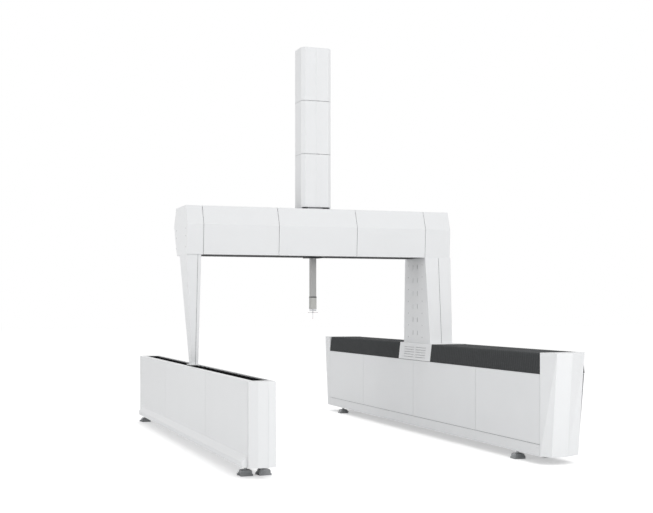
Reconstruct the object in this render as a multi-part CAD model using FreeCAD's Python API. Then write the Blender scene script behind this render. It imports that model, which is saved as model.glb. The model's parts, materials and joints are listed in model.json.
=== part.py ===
"""Gantry coordinate measuring machine on two raised runways.

Millimetres. X runs along the crossbeam, Y along the runways, Z is up, and the
floor is Z = 0. The origin is the middle of the machine's footprint. The rest
pose has the gantry near the middle of its travel and the probe over the table.
"""
import FreeCAD, Part
import math
import os

V = FreeCAD.Vector

# ---------------------------------------------------------------- clearances
AIR_GAP = 0.3            # running gap of every air bearing, roller and stage
COVER_GAP = 6.0          # open joint between neighbouring covers
SHEET = 4.0              # cover sheet thickness
PLEAT_SKIN = 3.0         # thickness of the bellows cloth
PLEAT_DEPTH = 24.0       # from a pleat's crest to its valley
PLEAT_PITCH = 64.0       # crest to crest, opened to the rest length

# ------------------------------------------------------------- left runway
LEFT_OUT = -2402.0       # outer cover face
LEFT_WIDTH = 361.0
LEFT_NEAR = -4453.0
LEFT_FAR = 3606.0
LEFT_TOP = 1244.0
LEFT_HEM = 149.0         # lower edge of the covers
LEFT_SEAMS = (-2000.0, 1055.0)
LEFT_NOSE = 52.0         # depth of the faceted end
LEFT_FACET = 111.0       # width of each side facet at the end
RIM = 22.0               # inner upstand beside the slot band
RIM_OUT = 100.0          # outer cover's flat top, beside the slot band
RIM_GAP = 7.0            # outer rim to the band
CAP_JOINT = (3.0, 1.5)   # width and depth of the groove beside a cap's nose
PLINTH_ENDS = (-4349.0, 3240.0)
PLINTH_REACH = 77.0      # plinth beyond the outer cover face
PLINTH_TOP = 222.0       # outer corner of the plinth's sloped ledge
PLINTH_ROOT = 300.0      # where the ledge meets the cover
BAND_ENDS = (-4235.0, 3420.0)    # where the caps' tops end
BAND_Z = 1232.0
BAND_THICK = 2.0
BAND_CLAMP = 60.0        # length of the block that holds each end of the band

# ------------------------------------------------------------ right runway
RIGHT_IN = 1766.0        # inner cover face, towards the measuring space
RIGHT_OUT = 2475.0
RIGHT_HALF = 4400.0      # runway middle to the seam of an end cap
RIGHT_HEM = 115.0
RIGHT_SILL = 1255.0      # top edge of the side panels
RIGHT_LEAN = 100.0       # the outer side leans in by this at the hem
END_PANEL = 1980.0       # length of the first and last side panels
SKIRT_TOP = 280.0        # the panels end on a continuous skirt
CAP_DEPTH = 292.0        # nose of an end cap at the top
CAP_FOOT_DEPTH = 146.0   # nose of an end cap at the hem
NEAR_INSET = 100.0       # inner facet of the near cap
CAP_SWEEP = 366.0        # outer facet of both caps

# ----------------------------------------------------------------- bellows
BELLOWS_FOOT = RIGHT_SILL + 7.0
BELLOWS_TOP = 1552.0
BELLOWS_LEAN = 33.0      # the sides lean in towards the roof

# ------------------------------------------------- frames, guides and feet
FRAME_WALL = 15.0
FRAME_INSET = 32.0       # cover face to frame side
FRAME_LIFT = 41.0        # hem to the frame's underside
LEFT_FRAME_TOP = 1100.0
LEFT_RAIL_WIDTH = 180.0
LEFT_RAIL_TOP = 1150.0
RIGHT_FRAME_TOP = 1120.0
GUIDE_IN = 1880.0        # inner side of the carriage guideway
GUIDE_WIDTH = 380.0
GUIDE_TOP = 1440.0
RAIL_HEIGHT = 30.0       # cover mounting rails
SKIRT_RAIL = 200.0       # underside of each rail
LOW_RAIL = 320.0
HIGH_RAIL = 1000.0
FOOT_WIDTH = (168.0, 146.0)      # lower and upper half of a wedge mount, in X
FOOT_DEPTH = (150.0, 130.0)
FOOT_HEIGHT = 78.0
FOOT_WEDGE = (26.0, 46.0)        # height of the sloping joint at its two sides
FOOT_CHAMFER = 14.0
FOOT_SCREW = (9.0, 16.0, 28.0, 14.0)     # radius, reach, then flats and height of the head
STUD_RADIUS = 22.0
NUT_FLATS = 70.0
NUT_HEIGHT = 28.0
LEFT_FOOT_X = (-2340.0, -2092.0)
LEFT_FOOT_Y = (-4017.0, 3302.0)
RIGHT_FOOT_X = (1812.0, 2300.0)
RIGHT_FOOT_Y = (-3686.0, 3709.0)

# ---------------------------------------------------- carriage and drives
CARRIAGE_NEAR = -713.0
CARRIAGE_FAR = 640.0
CARRIAGE_TOP = BELLOWS_TOP + SHEET
SADDLE_TOP = 1540.0
PAD_RADIUS = 75.0
PAD_HEIGHT = 30.0
PAD_Y = 430.0            # pad centres from the saddle's middle
SIDE_PAD = 0.8           # radius of a side pad, as a share of a top pad's
PAD_MARGIN = 10.0        # top pad to the guideway's edge
SADDLE_INSET = 60.0      # cover end to the saddle's end
SADDLE_LEG = 30.0        # thickness of the legs beside the guideway
SADDLE_LEG_FOOT = 1290.0
SADDLE_LEG_DEPTH = 150.0
LOUVRE = (430.0, 18.0, 6.0)      # length, height and how far it stands proud
LOUVRE_SLOT = 5.0        # open height under each louvre
LOUVRE_ROWS = 5
LOUVRE_FIRST = 1316.0
LOUVRE_PITCH = 42.0
LOUVRE_SPACING = 490.0   # middle to middle of the two columns
DRIVE_BAR_X = 2372.0
DRIVE_BAR = (12.0, 40.0)
DRIVE_BAR_Z = 1300.0
BAR_BRACKETS = 6
BAR_BRACKET = 40.0       # width of a bracket, and its inset from the bar's end
Y_ROLLER_RADIUS = 50.0
Y_MOTOR_RADIUS = 45.0
SCALE_THICK = 2.0
SCALE_HEIGHT = 20.0
Y_SCALE_Z = 1200.0
X_SCALE_DROP = 380.0     # girder top to the scale

# ------------------------------------------------------------ column, leg
COLUMN_IN = 1849.0       # inner face, upright
COLUMN_BASE_WIDTH = 414.0
COLUMN_BASE = (-538.0, 600.0)
COLUMN_HEAD = (-335.0, 551.0)
COLUMN_SEAM = 0.52       # joint of the two half covers, as a share of the width
COLUMN_FRAME_INSET = 41.0
COLUMN_FRAME_GAP = 33.0  # frame to the outer cover at the foot
COLUMN_FRAME_Y = (-250.0, 430.0)
COLUMN_FRAME_WALL = 20.0
VENT_ROWS = (0.0, 195.0)
VENT_COUNT = 6
VENT_FIRST = 1734.0
VENT_PITCH = 230.0
VENT_SIZE = (14.0, 78.0)
LEG_IN_HEAD = -2077.0
LEG_IN_BASE = -2084.0
LEG_OUT_BASE = -2195.0
LEG_HEAD_Y = (-284.0, 263.0)
LEG_BASE_Y = (-95.0, 75.0)
LEG_JOINT_X = -2131.0
LEG_FRAME_INSET = 8.0
LEG_FRAME_WALL = 10.0
NECK_THICK = 27.0
NECK_RIM_GAP = 6.0       # neck to the slot's inner rim
LEG_PLATE_OUT = -2231.0
LEG_PLATE_LENGTH = 260.0
LEG_PLATE_THICK = 14.0
LEG_PLATE_LIFT = 5.0     # band to the plate above it
LEG_SADDLE_LENGTH = 460.0
LEG_SADDLE_THICK = 28.0
LEG_PAD_HEIGHT = 20.0

# --------------------------------------------------------------- crossbeam
BEAM_LEFT = -2316.0
BEAM_RIGHT = 2325.0
BEAM_SEAMS = (-2045.0, -773.0, 601.0, 1857.0)
BEAM_BOTTOM = 3037.0
BEAM_FOLD = 3523.0
BEAM_TOP = 3834.0
BEAM_FOOT_Y = (-303.0, 480.0)
BEAM_FOLD_Y = (-335.0, 720.0)
BEAM_TOP_Y = (-216.0, 544.0)
GIRDER_TOP = 3650.0
GIRDER_WALL = 12.0
FRONT_GIRDER = (-270.0, -100.0, 3090.0)
REAR_GIRDER = (425.0, 570.0, 3250.0)
RIB_THICK = 8.0
SLOT_SIDE = 15.0         # mast to the edge of the top slot
X_BELLOWS_THICK = 22.0
SLOT_CLEARANCE = 2.0     # bellows edge to the slot's edge

# ------------------------------------------------- X carriage and Z column
COLUMN_Z_X = -28.0       # centre of the ram
COLUMN_Z_Y = 164.0
Z_COVER = (532.0, 446.0)
Z_COVER_CORNER = 60.0
Z_COVER_FOOT = 3877.0
Z_COVER_TOP = 6578.0
Z_COVER_COUNT = 3
Z_STRIP = (-16.0, 68.0, 5.0)     # raised strip: start from the centre, width, height
MAST_PLATE = 20.0
X_SADDLE = (520.0, 60.0)
X_SADDLE_Y = (-245.0, 560.0)
X_PAD_RADIUS = 60.0
X_PAD_HEIGHT = 25.0
X_PAD_X = 190.0
GUIDE_ARM = (60.0, 35.0, 250.0)
HOUSING = 260.0
HOUSING_WALL = 20.0
HOUSING_TOP = 4400.0
BEARING_HEIGHT = 150.0
EXIT_PLATE = 280.0
EXIT_FLANGE = (270.0, 22.0)
X_BAR = (10.0, 30.0)
X_ROLLER_RADIUS = 40.0
X_MOTOR_RADIUS = 35.0
X_MOTOR_LENGTH = 120.0

# ---------------------------------------------------------- ram and probe
RAM = 94.0
RAM_WALL = 12.0
RAM_FOOT = 2363.0
RAM_TOP = 5930.0
RAM_RING = (102.0, 18.0)
BELT = (30.0, 4.0)
PULLEY_RADIUS = 45.0
PULLEY_X = 90.0          # belt plane from the ram's centre
PULLEY_RISE = 80.0       # guide housing to the lower pulley's axle
PULLEY_DROP = 138.0      # top cover to the upper pulley's axle
AXLE_RADIUS = 12.0
AXLE_FIT = 0.05
Z_MOTOR = 120.0
CLAMP = (60.0, 10.0)     # height and thickness of the belt clamp on the ram
CLAMP_DROP = 20.0        # ram top to the top of the clamp
HEAD = 104.0
HEAD_WALL = 6.0
HEAD_HEIGHT = 195.0
STAGE = 60.0
STAGE_HEIGHT = 32.0
STEM_RADIUS = 14.0
STEM_HOLE = 20.0
ADAPTER = (96.0, 24.0)
ADAPTER_GAP = 6.0        # probe head to the stylus adapter
STYLUS_CUBE = 18.0
STYLUS_RADIUS = 3.0
STYLUS_BALL = 5.0
STAR_REACH = 88.0
STAR_DROP = 28.0         # adapter to the star of side styli
TIP_DROP = 108.0         # star to the lower stylus tip

# ----------------------------------------------------- sizes worked out once
LEFT_IN = LEFT_OUT + LEFT_WIDTH
GUIDE_OUT = GUIDE_IN + GUIDE_WIDTH
COLUMN_OUT_BASE = COLUMN_IN + COLUMN_BASE_WIDTH
COLUMN_FRAME_X = (COLUMN_IN + COLUMN_FRAME_INSET, COLUMN_OUT_BASE - COLUMN_FRAME_GAP)
CARRIAGE_MIDDLE = (CARRIAGE_NEAR + CARRIAGE_FAR) / 2
BAND_X = (LEFT_OUT + RIM_OUT + RIM_GAP, LEFT_IN - RIM - 2 * NECK_RIM_GAP - NECK_THICK)
LEG_PLATE_Z = BAND_Z + BAND_THICK + LEG_PLATE_LIFT
LEG_BASE_Z = LEG_PLATE_Z + LEG_PLATE_THICK
LEG_MIDDLE = sum(LEG_BASE_Y) / 2
MAST_DEPTH = Z_COVER[1] - 2 * Z_COVER_CORNER - 2 * SHEET
MAST_Y = (COLUMN_Z_Y - MAST_DEPTH / 2, COLUMN_Z_Y + MAST_DEPTH / 2)
SLOT_Y = (MAST_Y[0] - SLOT_SIDE, MAST_Y[1] + SLOT_SIDE)
MAST_X = (COLUMN_Z_X - Z_COVER[0] / 2 + SHEET, COLUMN_Z_X + Z_COVER[0] / 2 - SHEET)
X_SADDLE_Z = GIRDER_TOP + X_PAD_HEIGHT
PULLEY_LOW = HOUSING_TOP + PULLEY_RISE
PULLEY_HIGH = Z_COVER_TOP - PULLEY_DROP
INNER_Z = (RAM_FOOT, Z_COVER_TOP)
EXIT_X = (COLUMN_Z_X - EXIT_PLATE / 2, COLUMN_Z_X + EXIT_PLATE / 2)
LEFT_BLOCK_X = (BEAM_LEFT + 4 * SHEET, LEG_IN_HEAD - LEG_FRAME_INSET)
BELLOWS_ENDS = (BEAM_SEAMS[0] - COVER_GAP, BEAM_SEAMS[3] + COVER_GAP)
HEAD_TOP = RAM_FOOT - RAM_RING[1]
HEAD_FOOT = HEAD_TOP - HEAD_HEIGHT
ADAPTER_TOP = HEAD_FOOT - ADAPTER_GAP
STAR_Z = ADAPTER_TOP - ADAPTER[1] - STAR_DROP
TIP_Z = STAR_Z - TIP_DROP
Y_STAGE_TOP = HEAD_TOP - HEAD_WALL - AIR_GAP
X_STAGE_TOP = Y_STAGE_TOP - STAGE_HEIGHT - AIR_GAP
X_STAGE_FOOT = X_STAGE_TOP - STAGE_HEIGHT

os.makedirs("parts", exist_ok=True)


# ------------------------------------------------------------- small helpers
def box(x, y, z):
    """Box from three (low, high) pairs."""
    return Part.makeBox(x[1] - x[0], y[1] - y[0], z[1] - z[0], V(x[0], y[0], z[0]))


def around(centre, size):
    return (centre - size / 2, centre + size / 2)


def cylinder(radius, start, length, direction=(0, 0, 1)):
    return Part.makeCylinder(radius, length, V(*start), V(*direction))


def face(points):
    return Part.Face(Part.makePolygon([V(*p) for p in points + points[:1]]))


def prism_y(outline, y):
    """Outline of (x, z) points, drawn along Y."""
    return face([(x, y[0], z) for x, z in outline]).extrude(V(0, y[1] - y[0], 0))


def prism_x(outline, x):
    """Outline of (y, z) points, drawn along X."""
    return face([(x[0], y, z) for y, z in outline]).extrude(V(x[1] - x[0], 0, 0))


def prism_z(outline, z):
    """Outline of (x, y) points, drawn up."""
    return face([(x, y, z[0]) for x, y in outline]).extrude(V(0, 0, z[1] - z[0]))


def rectangle(x, y):
    return [(x[0], y[0]), (x[1], y[0]), (x[1], y[1]), (x[0], y[1])]


def hopper(foot, head, z):
    """Straight-sided solid between two (x, y) outlines at two heights."""
    low = [(x, y, z[0]) for x, y in foot]
    high = [(x, y, z[1]) for x, y in head]
    faces = [face(low), face(high)]
    for i, j in zip(range(len(low)), [*range(1, len(low)), 0]):
        run, slope, rise = (V(*p) - V(*low[i]) for p in (low[j], high[j], high[i]))
        if abs(run.cross(slope).dot(rise)) < 1.0:
            faces.append(face([low[i], low[j], high[j], high[i]]))
        else:
            faces.append(face([low[i], low[j], high[j]]))
            faces.append(face([low[i], high[j], high[i]]))
    return Part.makeSolid(Part.makeShell(faces))


def folded(path, thickness):
    """Outline of a sheet folded along a path, thickened to the path's left."""
    normals = []
    for (ax, ay), (bx, by) in zip(path, path[1:]):
        length = math.hypot(bx - ax, by - ay)
        normals.append(((ay - by) / length, (bx - ax) / length))
    inner = []
    for i, (px, py) in enumerate(path):
        before = normals[max(i - 1, 0)]
        after = normals[min(i, len(normals) - 1)]
        share = 1 + before[0] * after[0] + before[1] * after[1]
        inner.append((px + thickness * (before[0] + after[0]) / share,
                      py + thickness * (before[1] + after[1]) / share))
    return path + inner[::-1]


def cut(body, *tools):
    for tool in tools:
        body = body.cut(tool)
    return body


def joined(*bodies):
    whole = bodies[0]
    for body in bodies[1:]:
        whole = whole.fuse(body)
    return whole.removeSplitter()


def save(name, *solids):
    shape = solids[0] if len(solids) == 1 else Part.makeCompound(list(solids))
    shape.exportStep("parts/" + name + ".step")


def between(edges, gap):
    """Spans between neighbouring edges, each shortened by half the gap at its inner ends."""
    spans = []
    for i, (low, high) in enumerate(zip(edges, edges[1:])):
        low_gap = gap / 2 if i > 0 else 0.0
        high_gap = gap / 2 if i < len(edges) - 2 else 0.0
        spans.append((low + low_gap, high - high_gap))
    return spans


def pleated(path, thickness, depth, span, place):
    """Bellows: a folded sheet whose section steps between crest and valley.

    path runs round the outside of a crest, and its left side is the inside.
    place(point, station) turns a section point into a point in space.
    """
    crest = folded(path, thickness)
    valley_path = folded(path, depth)[len(path):][::-1]
    valley = folded(valley_path, thickness)
    folds = max(2, 2 * round((span[1] - span[0]) / PLEAT_PITCH))
    wires = []
    for i in range(folds + 1):
        station = span[0] + (span[1] - span[0]) * i / folds
        outline = crest if i % 2 == 0 else valley
        wires.append(Part.makePolygon([place(p, station) for p in outline + outline[:1]]))
    return Part.makeLoft(wires, True, True)


# -------------------------------------------------------------- left runway
def left_end_outline(y_end, outward, facet):
    """Plan of the left runway's end: two facets beside a flat nose."""
    root = y_end - outward * LEFT_NOSE
    return [(LEFT_OUT, root), (LEFT_OUT + facet, y_end), (LEFT_IN - facet, y_end), (LEFT_IN, root)]


def left_end_cap(y_end, outward):
    seam = y_end - outward * 2 * LEFT_NOSE
    outer = [(LEFT_OUT, seam)] + left_end_outline(y_end, outward, LEFT_FACET) + [(LEFT_IN, seam)]
    solid = prism_z(outer, (LEFT_HEM, LEFT_TOP))
    far = (seam, y_end - outward * SHEET)
    room = prism_z([(LEFT_OUT + SHEET, seam - outward * SHEET),
                    (LEFT_OUT + SHEET, y_end - outward * (LEFT_NOSE + SHEET / 2)),
                    (LEFT_OUT + LEFT_FACET, far[1]), (LEFT_IN - LEFT_FACET, far[1]),
                    (LEFT_IN - SHEET, y_end - outward * (LEFT_NOSE + SHEET / 2)),
                    (LEFT_IN - SHEET, seam - outward * SHEET)],
                   (LEFT_HEM - 1, LEFT_TOP - SHEET))
    joint = box(around(LEFT_IN - LEFT_FACET - CAP_JOINT[0], CAP_JOINT[0]),
                around(y_end, 2 * CAP_JOINT[1]), (LEFT_HEM - 1, LEFT_TOP - RIM_OUT))
    return solid.cut(room).cut(joint)


def left_runway():
    near = LEFT_NEAR + 2 * LEFT_NOSE
    far = LEFT_FAR - 2 * LEFT_NOSE
    frame_x = (LEFT_OUT + FRAME_INSET, LEFT_IN - FRAME_INSET)
    frame_z = (LEFT_HEM + FRAME_LIFT, LEFT_FRAME_TOP)
    frame = box(frame_x, (near, far), frame_z)
    hollow = box((frame_x[0] + FRAME_WALL, frame_x[1] - FRAME_WALL), (near - 1, far + 1),
                 (frame_z[0] + FRAME_WALL, frame_z[1] - FRAME_WALL))
    save("left_runway_frame", frame.cut(hollow))

    rail_x = (frame_x[0] + 40, frame_x[0] + 40 + LEFT_RAIL_WIDTH)
    save("left_guide_rail", box(rail_x, (near, far), (LEFT_FRAME_TOP, LEFT_RAIL_TOP)))

    rails = []
    for level in (LOW_RAIL, HIGH_RAIL):
        height = (level, level + RAIL_HEIGHT)
        rails.append(box((LEFT_OUT + SHEET, frame_x[0]), (near, far), height))
        rails.append(box((frame_x[1], LEFT_IN - SHEET), (near, far), height))
    save("left_cover_rails", *rails)

    panels = []
    edges = (near + COVER_GAP,) + LEFT_SEAMS + (far - COVER_GAP,)
    for span in between(edges, COVER_GAP):
        outer = [(LEFT_OUT + RIM_OUT, LEFT_TOP - RIM / 2), (LEFT_OUT + RIM_OUT, LEFT_TOP),
                 (LEFT_OUT, LEFT_TOP), (LEFT_OUT, LEFT_HEM)]
        panels.append(prism_y(folded(outer, SHEET), span))
        inner = [(LEFT_IN, LEFT_HEM), (LEFT_IN, LEFT_TOP), (LEFT_IN - RIM, LEFT_TOP),
                 (LEFT_IN - RIM, LEFT_TOP - RIM / 2)]
        panels.append(prism_y(folded(inner, SHEET), span))
    save("left_side_panels", *panels)

    ledge = [(LEFT_OUT, PLINTH_ROOT), (LEFT_OUT - PLINTH_REACH, PLINTH_TOP),
             (LEFT_OUT - PLINTH_REACH, LEFT_HEM), (LEFT_OUT, LEFT_HEM)]
    room = [(LEFT_OUT, PLINTH_ROOT - 3 * SHEET), (LEFT_OUT - PLINTH_REACH + SHEET, PLINTH_TOP - SHEET),
            (LEFT_OUT - PLINTH_REACH + SHEET, LEFT_HEM - 1), (LEFT_OUT, LEFT_HEM - 1)]
    room_y = (PLINTH_ENDS[0] + SHEET, PLINTH_ENDS[1] - SHEET)
    save("left_plinth", prism_y(ledge, PLINTH_ENDS).cut(prism_y(room, room_y)))

    tops = []
    for cap, span in ((left_end_cap(LEFT_NEAR, -1), (near, BAND_ENDS[0])),
                      (left_end_cap(LEFT_FAR, 1), (BAND_ENDS[1], far))):
        top_x = (LEFT_OUT + RIM_OUT + COVER_GAP, LEFT_IN - RIM - COVER_GAP)
        tops.append(cap.fuse(box(top_x, span, (LEFT_TOP - SHEET, LEFT_TOP))))
    save("left_end_caps", *tops)

    band = [box(BAND_X, (near, far), (BAND_Z, BAND_Z + BAND_THICK))]
    for span in ((near, near + BAND_CLAMP), (far - BAND_CLAMP, far)):
        band.append(box((rail_x[0], rail_x[1]), span, (LEFT_RAIL_TOP, BAND_Z)))
    save("left_slot_band", *band)


def hexagon(x, y, flats):
    radius = flats / math.sqrt(3)
    return [(x + radius * math.cos(math.radians(a)), y + radius * math.sin(math.radians(a)))
            for a in range(0, 360, 60)]


def levelling_feet():
    """Levelling mounts: two halves that meet on a slope, an adjusting screw, a stud and a lock nut."""
    plates = []
    studs = []
    places = [(x, y, LEFT_HEM + FRAME_LIFT, -1) for x in LEFT_FOOT_X for y in LEFT_FOOT_Y]
    places += [(x, y, RIGHT_HEM + FRAME_LIFT, 1) for x in RIGHT_FOOT_X for y in RIGHT_FOOT_Y]
    low, high = FOOT_WIDTH[0] / 2, FOOT_WIDTH[1] / 2
    slope = (FOOT_WEDGE[1] - FOOT_WEDGE[0]) / FOOT_WIDTH[0]
    joint = [FOOT_WEDGE[0] + slope * (low + reach) for reach in (-high, high)]
    shoulder = FOOT_HEIGHT - FOOT_CHAMFER
    lower = [(-low, 0.0), (low, 0.0), (low, FOOT_WEDGE[1]), (-low, FOOT_WEDGE[0])]
    upper = [(-high, joint[0]), (high, joint[1]), (high, shoulder), (high - FOOT_CHAMFER, FOOT_HEIGHT),
             (FOOT_CHAMFER - high, FOOT_HEIGHT), (-high, shoulder)]
    radius, reach, flats, height = FOOT_SCREW
    for x, y, frame_foot, side in places:
        for outline, depth in zip((lower, upper), FOOT_DEPTH):
            plates.append(prism_y([(x + side * px, pz) for px, pz in outline], around(y, depth)))
        stud = cylinder(STUD_RADIUS, (x, y, FOOT_HEIGHT), frame_foot - FOOT_HEIGHT)
        nut = prism_z(hexagon(x, y, NUT_FLATS), (frame_foot - NUT_HEIGHT, frame_foot))
        studs.append(stud)
        studs.append(nut.cut(cylinder(STUD_RADIUS, (x, y, 0), frame_foot + 1)))
        shank = cylinder(radius, (x + side * low, y, FOOT_WEDGE[1] / 2), reach, (side, 0, 0))
        head = prism_z(hexagon(0.0, 0.0, flats), (0.0, height))
        head.rotate(V(0, 0, 0), V(0, 1, 0), 90 * side)
        head.translate(V(x + side * (low + reach), y, FOOT_WEDGE[1] / 2))
        studs.append(shank.fuse(head))
    save("foot_plates", *plates)
    save("foot_studs_and_nuts", *studs)


# ------------------------------------------------------------- right runway
def bellows_path(outset=0.0):
    """Outside of the bellows roof, from the inner foot to the outer foot."""
    return [(RIGHT_IN - outset, BELLOWS_FOOT), (RIGHT_IN + BELLOWS_LEAN - outset, BELLOWS_TOP + outset),
            (RIGHT_OUT - BELLOWS_LEAN + outset, BELLOWS_TOP + outset), (RIGHT_OUT + outset, BELLOWS_FOOT)]


def right_end_cap(seam, outward, inset):
    """Prow-shaped cap: deep at the top, shallower at the hem."""
    def plan(out_face, depth, wall):
        """Outline at one height, drawn in by a wall that is measured square to each facet."""
        inner = inset / depth
        outer = (out_face - RIGHT_OUT + CAP_SWEEP) / depth
        inner_wall = wall * math.hypot(1.0, inner)
        outer_wall = wall * math.hypot(1.0, outer)
        corners = [(RIGHT_IN + inner * y + inner_wall, y) for y in (wall, depth - wall)]
        corners += [(out_face - outer * y - outer_wall, y) for y in (depth - wall, wall)]
        return [(x, seam + outward * y) for x, y in corners]
    foot = plan(RIGHT_OUT - RIGHT_LEAN, CAP_FOOT_DEPTH, 0.0)
    head = plan(RIGHT_OUT, CAP_DEPTH, 0.0)
    solid = hopper(foot, head, (RIGHT_HEM, BELLOWS_TOP + SHEET))
    inner_foot = plan(RIGHT_OUT - RIGHT_LEAN, CAP_FOOT_DEPTH, 2 * SHEET)
    inner_head = plan(RIGHT_OUT, CAP_DEPTH, 2 * SHEET)
    room = hopper(inner_foot, inner_head, (RIGHT_HEM, BELLOWS_TOP - SHEET))
    return solid.cut(room)


def lean_point(z):
    """Point of the outer cover face at a height."""
    return (RIGHT_OUT - RIGHT_LEAN * (RIGHT_SILL - z) / (RIGHT_SILL - RIGHT_HEM), z)


def right_panels(edges):
    inner = [(RIGHT_IN, SKIRT_TOP + COVER_GAP / 2), (RIGHT_IN, RIGHT_SILL),
             (RIGHT_IN + FRAME_INSET, RIGHT_SILL)]
    outer = [(RIGHT_OUT - FRAME_INSET, RIGHT_SILL), lean_point(RIGHT_SILL),
             lean_point(SKIRT_TOP + COVER_GAP / 2)]
    spans = between(edges, COVER_GAP)
    paths = (inner[::-1], outer[::-1])
    save("right_side_panels", *[prism_y(folded(path, SHEET), span) for path in paths for span in spans])
    whole = (edges[0], edges[-1])
    inner_skirt = [(RIGHT_IN, SKIRT_TOP - COVER_GAP / 2), (RIGHT_IN, RIGHT_HEM)]
    outer_skirt = [lean_point(RIGHT_HEM), lean_point(SKIRT_TOP - COVER_GAP / 2)]
    save("right_skirts", *[prism_y(folded(path, SHEET), whole) for path in (inner_skirt, outer_skirt)])


def right_runway():
    ends = (-RIGHT_HALF, RIGHT_HALF)
    frame_x = (RIGHT_IN + FRAME_INSET, RIGHT_OUT - RIGHT_LEAN - FRAME_INSET)
    frame_z = (RIGHT_HEM + FRAME_LIFT, RIGHT_FRAME_TOP)
    frame = box(frame_x, ends, frame_z)
    hollow = box((frame_x[0] + FRAME_WALL, frame_x[1] - FRAME_WALL), (ends[0] - 1, ends[1] + 1),
                 (frame_z[0] + FRAME_WALL, frame_z[1] - FRAME_WALL))
    save("right_runway_frame", frame.cut(hollow))
    save("right_guideway", box((GUIDE_IN, GUIDE_OUT), ends, (RIGHT_FRAME_TOP, GUIDE_TOP)))

    cover_line = [lean_point(RIGHT_HEM), lean_point(RIGHT_SILL)]
    lean_solid = prism_y([(frame_x[1], RIGHT_HEM)] + cover_line + [(frame_x[1], RIGHT_SILL)], ends)
    outer_sheet = prism_y(folded(cover_line, SHEET), ends)
    rails = []
    for level in (SKIRT_RAIL, LOW_RAIL, HIGH_RAIL):
        height = (level, level + RAIL_HEIGHT)
        rails.append(box((RIGHT_IN + SHEET, frame_x[0]), ends, height))
        reach = box((frame_x[1], RIGHT_OUT), ends, height)
        rails.append(reach.common(lean_solid).cut(outer_sheet))
    save("right_cover_rails", *rails)

    edges = (ends[0] + COVER_GAP, -RIGHT_HALF + END_PANEL, 0.0, RIGHT_HALF - END_PANEL, ends[1] - COVER_GAP)
    right_panels(edges)
    save("right_end_caps", right_end_cap(-RIGHT_HALF, -1, NEAR_INSET), right_end_cap(RIGHT_HALF, 1, 0.0))

    path = bellows_path()[::-1]
    for name, span in (("bellows_near", (-RIGHT_HALF, CARRIAGE_NEAR)),
                       ("bellows_far", (CARRIAGE_FAR, RIGHT_HALF))):
        save(name, pleated(path, PLEAT_SKIN, PLEAT_DEPTH, span, lambda p, s: V(p[0], s, p[1])))

    bar_x = (DRIVE_BAR_X, DRIVE_BAR_X + DRIVE_BAR[0])
    bar = [box(bar_x, ends, (DRIVE_BAR_Z, DRIVE_BAR_Z + DRIVE_BAR[1]))]
    reach = RIGHT_HALF - BAR_BRACKET
    for i in range(BAR_BRACKETS):
        middle = -reach + i * 2 * reach / (BAR_BRACKETS - 1)
        gusset = [(GUIDE_OUT, RIGHT_FRAME_TOP + BAR_BRACKET), (GUIDE_OUT, RIGHT_FRAME_TOP + 2 * BAR_BRACKET),
                  (bar_x[0], DRIVE_BAR_Z), (bar_x[1], DRIVE_BAR_Z), (bar_x[1], DRIVE_BAR_Z - BAR_BRACKET)]
        bar.append(prism_y(gusset, (middle - BAR_BRACKET / 2, middle + BAR_BRACKET / 2)))
    save("y_drive_bar", *bar)
    save("y_scale", box((GUIDE_IN - SCALE_THICK, GUIDE_IN), ends, (Y_SCALE_Z, Y_SCALE_Z + SCALE_HEIGHT)))


# ------------------------------------------- carriage and column (gantry)
def louvred(shell):
    """Presses rows of louvres, open at their lower edge, into the cover's inner side."""
    length, height, proud = LOUVRE
    foot, shoulder = bellows_path(SHEET)[:2]
    lean = (shoulder[0] - foot[0]) / (shoulder[1] - foot[1])
    hoods, slots = [], []
    for row in range(LOUVRE_ROWS):
        z = LOUVRE_FIRST + row * LOUVRE_PITCH
        x = foot[0] + lean * (z - foot[1])
        crown = (x + lean * height, z + height)
        hood = [(x, z), (x - proud, z), crown, (crown[0] + SHEET, crown[1]), (x + SHEET, z)]
        throat = [(x + 2 * SHEET, z - LOUVRE_SLOT), (x - proud + 1, z - LOUVRE_SLOT),
                  (x - proud + 1, z + 1), (x + 2 * SHEET, z + height - SHEET)]
        for middle in around(CARRIAGE_MIDDLE, LOUVRE_SPACING):
            hoods.append(prism_y(hood, around(middle, length)))
            slots.append(prism_y(throat, around(middle, length - 2)))
    return cut(joined(shell, *hoods), *slots)


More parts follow.
